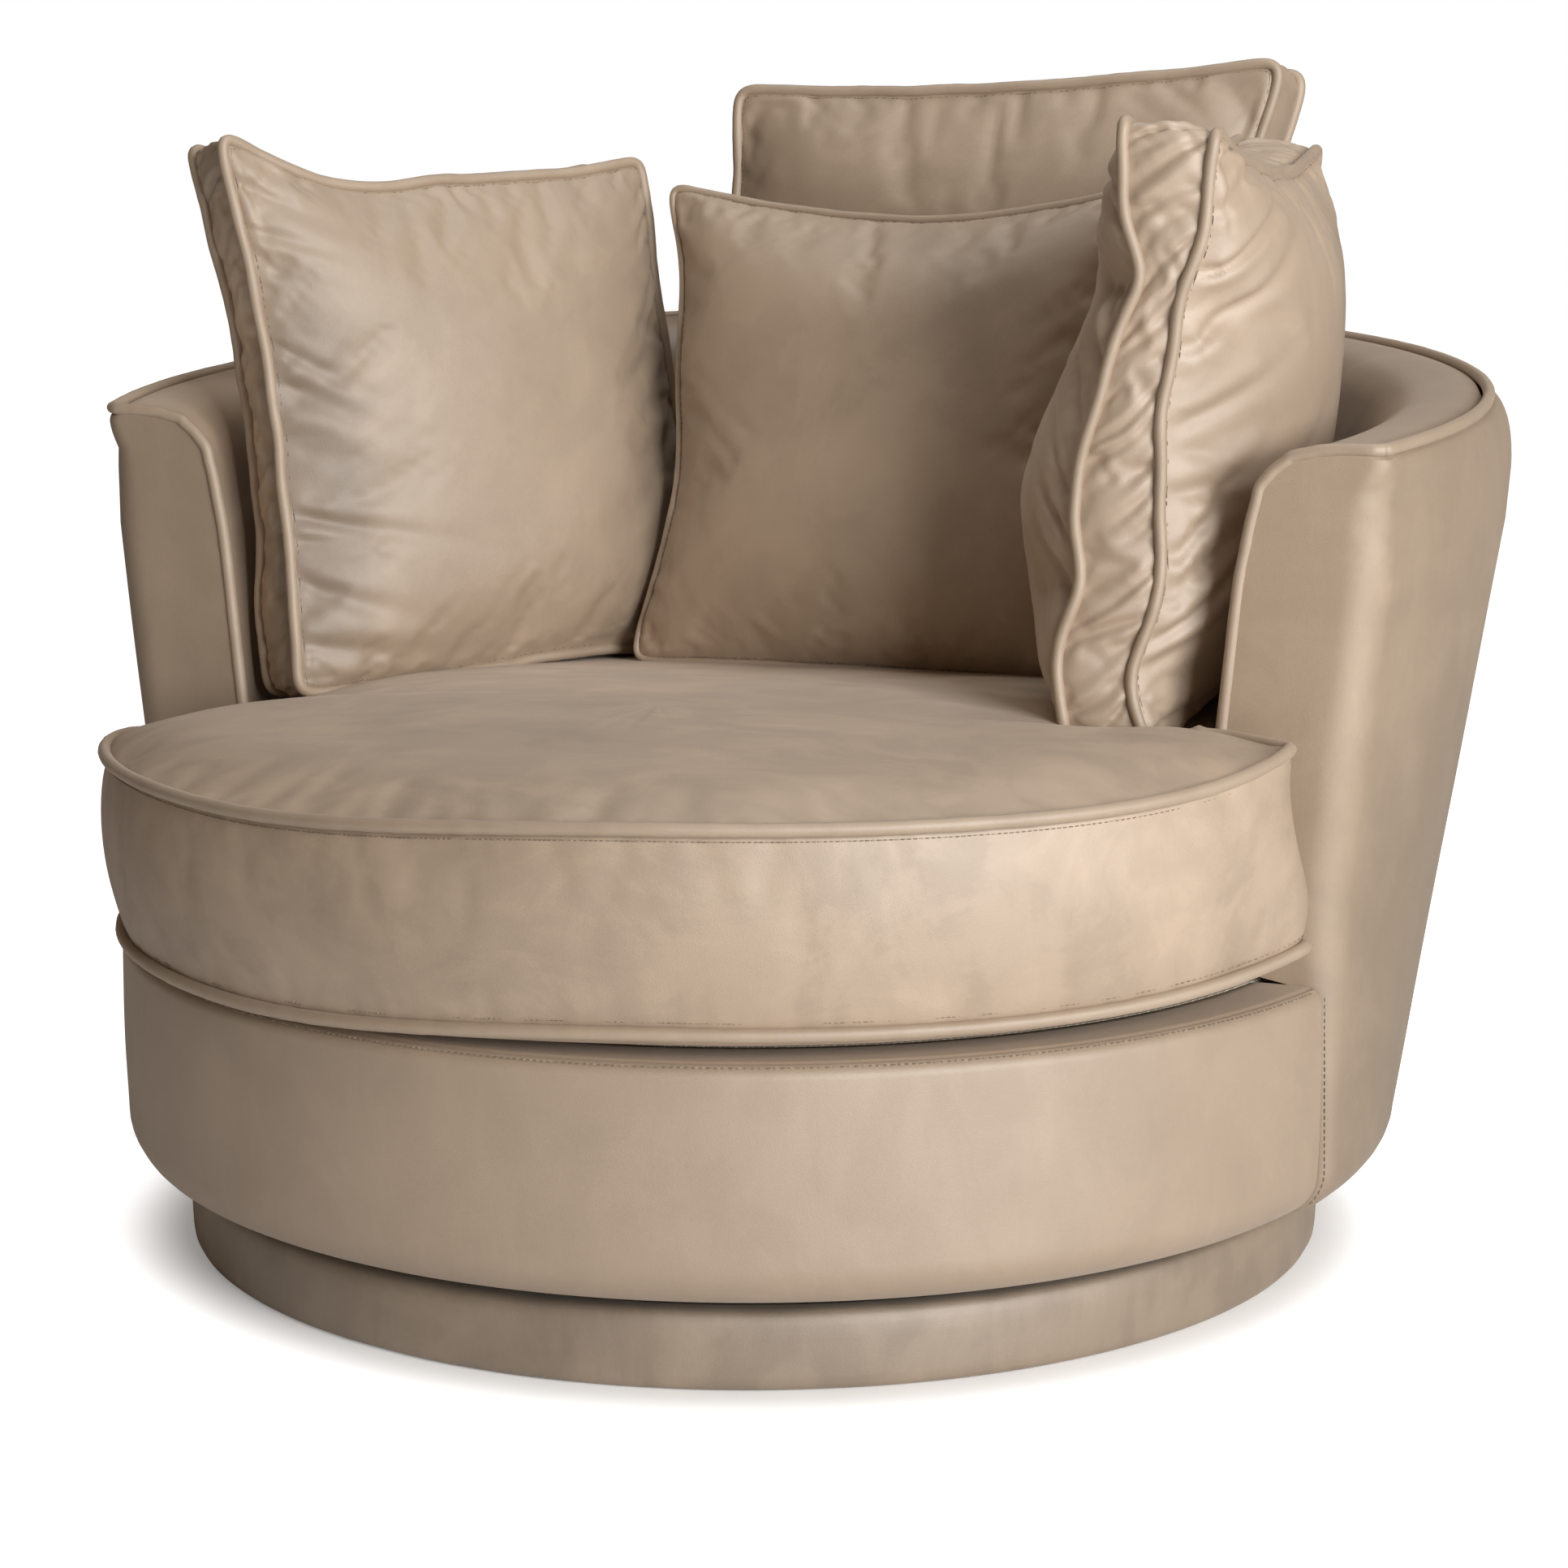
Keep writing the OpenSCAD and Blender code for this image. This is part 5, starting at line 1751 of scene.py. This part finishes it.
    def crease_gusset(self, net: np.ndarray) -> None:
        """Presses the gathers into the gusset, from seam to seam.

        Args:
            net: The gusset's net, which is changed.
        """
        rows, cols = net.shape[:2]
        out = normals_of(net, True, net * FLAT)
        run, pulls = 2 * (self.width + self.height), self.pulls
        share, along = np.meshgrid(np.linspace(0, 1, rows), np.linspace(0, run, cols, endpoint=False), indexing="ij")
        low, high = share * self.thick, (1 - share) * self.thick
        relief = np.zeros_like(low)
        for k, depth in enumerate((low, high)):
            slant = pulls.gusset_slant * (1 - 2 * k)
            relief += press_folds(depth, along, run, pulls.gusset, 0.8 * self.thick, pulls.gusset_spacing, slant,
                                  40 + self.seed + k, True)
            relief += press_folds(depth, along, run, 0.45 * pulls.gusset, 0.011, 0.010, slant, 60 + self.seed + k, True)
        relief *= np.minimum(1.0, 5.0 * np.minimum(share, 1 - share))
        net[1:-1] += (relief[..., None] * out)[1:-1]

    def build(self) -> None:
        """Sews, fills, creases, pipes and dresses the cushion, and stands it in its place."""
        nets = self.nets()
        obj, number = self.sewn(nets, self.name)
        size = (self.steps + 1) ** 2
        ids = np.arange(size).reshape(self.steps + 1, -1, 1)
        seams = np.concatenate([rim_of(ids), rim_of(ids + size)]).ravel()
        pinned = {int(number[v]): 1.0 for v in seams}
        gusset = sorted({int(number[v]) for v in range(2 * size, len(number))} - set(pinned))
        inflate(obj, pinned, gusset, self.pressure, self.ease, self.gather, steps=14, cap=self.cap)
        co = np.array([v.co for v in obj.data.vertices])[number]
        ends = np.cumsum([net.shape[0] * net.shape[1] for net in nets])
        nets = [part.reshape(net.shape) for part, net in zip(np.split(co, ends[:-1]), nets)]
        bpy.data.objects.remove(obj)
        fine = [finer(net, self.factor, closed=k == 2) for k, net in enumerate(nets)]
        self.crease_panel(fine[0], -1)
        self.crease_panel(fine[1], 1)
        if self.gusset_rows == 0:
            set_rim(fine[1], rim_of(fine[0]))
        else:
            self.crease_gusset(fine[2])
            fine[2][0], fine[2][-1] = rim_of(fine[0]), rim_of(fine[1])
        place = self.pose.matrix(self.seat, self.height)
        obj, _ = self.sewn(fine, self.name)
        obj.data.transform(place)
        dress(obj, self.velvet, replaced=(self.node,))
        self.trim(fine, place)

    def trim(self, fine: list[np.ndarray], place: Matrix) -> None:
        """Lays the piping along the seams, and the stitches beside it.

        Args:
            fine: The nets of the panels and the gusset.
            place: The cushion's place.
        """
        labels = ("front", "rear")[:1 if self.gusset_rows == 0 else 2]
        for k, label in enumerate(labels):
            line = rim_of(fine[k])
            line = line + unit_rows(line * FLAT) * 0.5 * self.pipe_r
            cord = lay_cord(f"{self.name}_cord_{label}", line, self.pipe_r, 0.08)
            cord.data.transform(place)
            dress(cord, self.piping)
        for k, side in ((0, -1.0), (1, 1.0)):
            out = normals_of(fine[k], False, np.array([0.0, side, 0.0]))
            rim, inside = rim_of(fine[k]), inner_rim(fine[k], self.factor)
            step = inside - rim
            rows = (rim + step * np.minimum(1.0, 1.1 * self.pipe_r / np.linalg.norm(step, axis=1))[:, None],
                    inner_rim(out, self.factor))
            row = stitches(f"{self.name}_seam_{'front' if k == 0 else 'rear'}",
                           np.vstack([rows[0], rows[0][:1]]), np.vstack([rows[1], rows[1][:1]]), radius=0.00042)
            row.data.transform(place)
            dress(row, self.thread)


# Frame and bearing


@dataclass
class HiddenParts:
    """The frame, springs and turntable, which keep their solids and get their finishes."""

    nodes: dict[str, Object]
    finishes: dict[str, tuple[str, ...]]

    def build(self, made: dict[str, Material]) -> None:
        """Dresses each hidden part.

        Args:
            made: The materials by name.
        """
        for finish, names in self.finishes.items():
            for name in names:
                piece = self.nodes[name]
                for k in range(max(1, len(piece.material_slots))):
                    if not piece.material_slots:
                        piece.data.materials.append(made[finish])
                    piece.material_slots[k].material = made[finish]
                log.info("dressed %s in %s", name, finish)


# Studio


@dataclass
class Studio:
    """White floor and surroundings, soft lamps, and the camera at the photograph's place."""

    eye: Point = (1.129, -2.780, 0.912)
    look: Point = (-0.3626, 0.9145, -0.1793)
    lens: float = 83.44
    floor_half: float = 14.0
    floor_glow: float = 0.22
    glow_from: float = 0.468
    glow_full: float = 0.555

    def add(self, name: str, data: bpy.types.ID, at: Point, look: Vector) -> Object:
        """Adds a camera or lamp at a point, turned to look along a direction.

        Args:
            name: The object's name.
            data: The camera or lamp.
            at: Where it stands.
            look: The direction that it looks along.

        Returns:
            The object.
        """
        obj = bpy.data.objects.new(name, data)
        obj.location = at
        obj.rotation_euler = look.to_track_quat("-Z", "Y").to_euler()
        bpy.context.scene.collection.objects.link(obj)
        return obj

    def place_camera(self) -> None:
        """Places the camera."""
        data = bpy.data.cameras.new("camera")
        data.sensor_width = 36.0
        data.lens = self.lens
        data.clip_end = 60.0
        bpy.context.scene.camera = self.add("camera", data, self.eye, Vector(self.look))

    def lay_floor(self) -> None:
        """Lays a white floor that keeps the chair's shadow, and looks plain white further out."""
        half = self.floor_half
        floor = add_mesh("floor", [(-half, -half, 0), (half, -half, 0), (half, half, 0), (-half, half, 0)],
                         [(0, 1, 2, 3)], smooth=False)
        material, tree, shader = new_material("white_floor")
        feed(tree, shader, {"Base Color": (0.9, 0.9, 0.9, 1.0), "Roughness": 0.95, "Specular IOR Level": 0.0})
        away = add_node(tree, "VectorMath", {0: placed(tree)}, operation="LENGTH").outputs["Value"]
        glow = span(tree, away, (self.glow_from, self.glow_full), (self.floor_glow, 1.0))
        seen = add_node(tree, "LightPath", {}).outputs["Is Camera Ray"]
        light = add_node(tree, "Emission", {"Color": WHITE, "Strength": maths(tree, "MULTIPLY", seen, glow)})
        both = add_node(tree, "AddShader", {0: shader.outputs[0], 1: light.outputs[0]})
        out = next(node for node in tree.nodes if node.type == "OUTPUT_MATERIAL")
        feed(tree, out, {0: both.outputs[0]})
        floor.data.materials.append(material)

    def fill_world(self, strength: float) -> None:
        """Surrounds the chair with soft warm light, and with plain white behind it.

        Args:
            strength: The light's strength.
        """
        world = bpy.data.worlds.new("white")
        bpy.context.scene.world = world
        world.use_nodes = True
        tree = world.node_tree
        tree.nodes.clear()
        plain = add_node(tree, "Background", {"Color": (1.0, 0.76, 0.54, 1.0), "Strength": strength})
        behind = add_node(tree, "Background", {"Color": WHITE, "Strength": 1.0})
        seen = add_node(tree, "LightPath", {}).outputs["Is Camera Ray"]
        mix = add_node(tree, "MixShader", {0: seen, 1: plain.outputs[0], 2: behind.outputs[0]})
        add_node(tree, "OutputWorld", {0: mix.outputs[0]})

    def hang_lamp(self, name: str, at: Point, target: Point, size: float, power: float) -> None:
        """Hangs a soft white square lamp.

        Args:
            name: The lamp's name.
            at: Where it hangs.
            target: What it shines at.
            size: Its width and height.
            power: Its power in watts.
        """
        data = bpy.data.lights.new(name, "AREA")
        data.shape = "RECTANGLE"
        data.size = data.size_y = size
        data.energy = power
        self.add(name, data, at, Vector(target) - Vector(at))

    def build(self) -> None:
        """Sets up the studio."""
        self.place_camera()
        self.lay_floor()
        self.fill_world(0.125)
        self.hang_lamp("key", (4.60, -3.35, 1.92), (0.0, 0.0, 0.4), 2.8, 345.0)
        self.hang_lamp("top", (0.2, 0.3, 3.6), (0.0, 0.0, 0.3), 2.0, 34.0)
        bpy.context.scene.view_settings.view_transform = "Standard"


def make_finishes() -> dict[str, Material]:
    """Makes all the chair's materials.

    Returns:
        The materials by name.
    """
    # All the velvets are one fabric. Their colours differ from piece to piece partly with the nap and partly as painted
    # light and shade, each set to how bright that piece looks when lit.
    return {finish.name: finish.material() for finish in (
        # Painted light on the right arm's front and painted shade low on the right side.
        Velvet("velvet_tub", (0.312, 0.232, 0.160), gloss=0.7, painted_light=(
            PaintedLight((0.50, -0.13, 0.52), (0.10, 0.07, 0.40), 0.28),
            PaintedLight((0.58, 0.06, 0.26), (0.14, 0.20, 0.34), -0.14))),
        # The plinth's velvet is a darker copy of the tub's: painted shade where the plinth lies in the drum's shadow.
        Velvet("velvet_plinth_painted_shade", (0.265, 0.197, 0.136), depth=0.22, patch=7.0, turn=0.7),
        # Painted light on the top of the left arm.
        Velvet("velvet_lining", (0.335, 0.246, 0.168), turn=1.1, painted_light=(
            PaintedLight((-0.49, -0.02, 0.675), (0.12, 0.20, 0.07), 0.40),)),
        # Painted shade on the left of the border.
        Velvet("velvet_border", (0.370, 0.275, 0.192), depth=0.08, turn=0.9, painted_light=(
            PaintedLight((-0.14, -0.50, 0.31), (0.16, 0.2, 0.14), -0.06),)),
        Velvet("velvet_seat", (0.405, 0.301, 0.209), depth=0.22, patch=5.0, turn=0.2, strokes=(0.4, 1.0, 1.0)),
        Velvet("velvet_back", (0.372, 0.273, 0.186), depth=0.15, turn=1.6, strokes=(0.6, 1.0, 0.6)),
        # Painted shade in two places of the left cushion and painted light on one place near its left edge.
        Velvet("velvet_left", (0.375, 0.281, 0.196), turn=2.1, strokes=(1.0, 1.0, 1.0), painted_light=(
            PaintedLight((-0.368, -0.090, 0.60), (0.075, 0.075, 0.24), -0.32),
            PaintedLight((-0.428, -0.078, 0.62), (0.05, 0.05, 0.34), 0.70),
            PaintedLight((-0.160, 0.270, 0.56), (0.11, 0.13, 0.27), -0.28))),
        # Painted shade on the right cushion near the right arm.
        Velvet("velvet_right", (0.422, 0.317, 0.224), turn=1.3, gloss=1.05, strokes=(1.0, 1.0, 1.0), painted_light=(
            PaintedLight((0.43, 0.22, 0.66), (0.10, 0.12, 0.25), -0.25),)),
        Velvet("velvet_pillow", (0.400, 0.295, 0.202), depth=0.15, turn=2.6, strokes=(0.6, 1.0, 0.6)),
        Velvet("velvet_cord", (0.385, 0.287, 0.198), depth=0.08, patch=6.0),
        Cloth("sewing_thread", (0.30, 0.235, 0.17), 400.0),
        Timber("birch_plywood", Wood.PLYWOOD, (0.68, 0.51, 0.32)),
        Timber("pine", Wood.SOFTWOOD, (0.74, 0.56, 0.34)),
        Metal("pressed_steel", (0.52, 0.54, 0.56), 0.4),
        Metal("zinc_plate", (0.66, 0.67, 0.68), 0.28),
        Metal("spring_wire", (0.28, 0.29, 0.30), 0.35),
        Metal("cage_brass", (0.72, 0.53, 0.22), 0.3),
        Cloth("felt", (0.62, 0.57, 0.46), 500.0),
        Cloth("black_cloth", (0.018, 0.018, 0.019), 900.0),
        Cloth("black_webbing", (0.022, 0.022, 0.025), 500.0))}


def loose_cushions(form: TubForm, seat: SeatForm, made: dict[str, Material]) -> list[BoxCushion]:
    """Sizes, shapes and places the four loose cushions.

    Args:
        form: The tub's form.
        seat: The seat cushion's form.
        made: The materials by name.

    Returns:
        The back, left and right box cushions and the scatter pillow.
    """
    pad_in = form.tub_r - form.wall
    side_x = pad_in - 0.1575
    pillow_x = side_x - 0.034 - 0.044 - 0.219 + 0.017
    trim = {"seat": seat, "piping": made["velvet_cord"], "thread": made["sewing_thread"]}
    side = {"width": 0.422, "height": 0.455, "thick": 0.068, "crown": 0.044, "ears": 0.05, "wave": 0.0022, "factor": 3}
    back = BoxCushion(
        "back_velvet", "back_cushion", velvet=made["velvet_back"],
        pose=Pose((0.106, form.lean + pad_in - 0.2105), 0.0047, 0, 6, -2.5),
        width=0.480, height=0.512, thick=0.082, crown=0.032, rear=0.032, ears=0.02, sag=0.03, taper=0.25, wave=0.0014,
        seed=2, pulls=Pulls(right=0.0011, left=0.0011, top=0.0003), **trim,
        shifts=(Shift((1.0, 1.0), (0.024, 0.0, 0.0), (0.5, 0.35)),
                Shift((-1.0, 0.3), (-0.028, 0.0, 0.0), (0.6, 0.5))))
    left = BoxCushion(
        "left_velvet", "left_cushion", velvet=made["velvet_left"],
        pose=Pose((0.025 - side_x, form.lean + 0.014), -0.0006, 63, 6.5, 1),
        rear=0.044, sag=0.06, skew=-0.13, gather=0.05, seed=3, **trim, **side,
        pulls=Pulls(foot=0.0012, left=0.0046, right=0.0040, top=0.0010, reach=0.110, spacing=0.036, slant=-0.5,
                    slant_left=-0.25, gusset=0.0030, gusset_spacing=0.017, gusset_slant=0.5),
        shifts=(Shift((-1.0, 0.0), (-0.008, 0.0, 0.0), (0.5, 3.0)),
                Shift((-1.0, 0.0), (-0.014, 0.0, 0.0), (0.35, 3.0), 1.0, 0.0),
                Shift((-1.0, -1.0), (-0.022, 0.0, 0.0), (0.5, 0.6)),
                Shift((-1.0, -0.3), (0.0, 0.006, 0.0), (0.35, 0.5), 1.0, 0.0),
                Shift((-1.0, 1.0), (-0.003, 0.0, 0.012), (0.2, 0.4)),
                Shift((-0.5, 1.0), (0.0, 0.0, -0.013), (0.3, 0.35)),
                Shift((1.0, 1.0), (0.0, 0.0, -0.004), (0.3, 0.4)),
                Shift((-1.0, -0.66), (0.0, 0.008, 0.0), (0.3, 0.12), 0.0),
                Shift((0.25, -1.0), (0.0, 0.0, 0.011), (0.6, 0.10), 1.0, 0.4),
                Shift((-1.0, 0.35), (0.0, -0.007, 0.0), (0.3, 0.25), 0.0)))
    right = BoxCushion(
        "right_velvet", "right_cushion", velvet=made["velvet_right"],
        pose=Pose((side_x, form.lean + 0.005), 0.0061, -85, 8, 0),
        rear=0.064, sag=0.05, gather=0.06, seed=4, **trim, **side,
        pulls=Pulls(right=0.0056, reach=0.150, spacing=0.034, slant=0.75, gusset=0.0044, gusset_spacing=0.020,
                    gusset_slant=0.7),
        shifts=(Shift((0.5, -0.25), (0.0, -0.028, 0.0), (0.45, 0.5), 1.0, 0.0),
                Shift((1.0, 1.0), (0.0, -0.018, 0.012), (0.6, 0.45)),
                Shift((1.0, -1.0), (0.0, 0.012, -0.008), (0.5, 0.3)),
                Shift((1.0, 0.52), (0.0, 0.030, 0.0), (0.30, 0.09), 1.0, 0.0),
                Shift((1.0, -0.10), (0.0, -0.007, 0.0), (0.4, 0.24), 1.0, 0.0),
                Shift((1.0, -0.50), (0.0, 0.010, 0.0), (0.35, 0.09), 1.0, 0.0),
                Shift((1.0, -0.78), (0.0, -0.012, 0.0), (0.4, 0.14), 1.0, 0.0),
                Shift((1.0, 0.46), (0.0, -0.016, 0.0), (0.30, 0.09), 0.0, 1.0),
                Shift((1.0, 0.1), (0.0, -0.024, 0.0), (0.4, 0.40), 0.0, 1.0),
                Shift((1.0, -0.78), (0.0, -0.024, 0.0), (0.4, 0.18), 0.0, 1.0)))
    pillow = BoxCushion(
        "pillow_velvet", "scatter_pillow", velvet=made["velvet_pillow"],
        pose=Pose((pillow_x, form.lean + 0.076), 0.0019, 0, 12, 0),
        width=0.438, height=0.425, thick=0.004, crown=0.063, rear=0.063, ears=0.06, sag=0.04, gusset_rows=0,
        wave=0.0016, pipe_r=0.0034, seed=5, **trim,
        pulls=Pulls(foot=0.0008, right=0.0010, top=0.0010, left=0.0012, reach=0.05, spacing=0.03),
        shifts=(Shift((0.1, 1.0), (0.0, 0.0, -0.009), (0.5, 0.3)),
                Shift((-1.0, -0.2), (0.020, 0.0, 0.0), (0.4, 0.5)),
                Shift((-1.0, 0.6), (0.012, 0.0, 0.0), (0.3, 0.3))))
    return [back, left, right, pillow]


def main() -> None:
    """Builds the dressed armchair in its studio."""
    logging.basicConfig(level=logging.INFO, format="%(message)s")
    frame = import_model()
    Studio().build()

    made = make_finishes()
    form = TubForm()
    seat = SeatForm(form)
    cord, thread = made["velvet_cord"], made["sewing_thread"]
    Tub(form, made["velvet_tub"], made["velvet_lining"], cord, thread).build()
    FrontBorder(form, made["velvet_border"], thread).build()
    PlinthSkirt(made["velvet_plinth_painted_shade"]).build()
    SeatCushion(seat, made["velvet_seat"], cord, thread).build()
    for cushion in loose_cushions(form, seat, made):
        cushion.build()

    HiddenParts(frame["nodes"], {
        "birch_plywood": ("plinth_hoop", "plinth_board", "base_board", "base_ring", "front_rail", "top_rail",
                          "arm_board_left", "arm_board_right"),
        "pine": ("plinth_battens", "seat_rail", "tub_posts"),
        "pressed_steel": ("lower_plate", "upper_plate"),
        "zinc_plate": ("lower_bolts", "upper_bolts", "centre_rivet", "bearing_balls", "spring_clips"),
        "spring_wire": ("seat_springs",),
        "cage_brass": ("ball_cage",),
        "felt": ("seat_deck",),
        "black_cloth": ("dust_cover",),
        "black_webbing": ("back_webbing",)}).build(made)


if __name__ == "__main__":
    main()
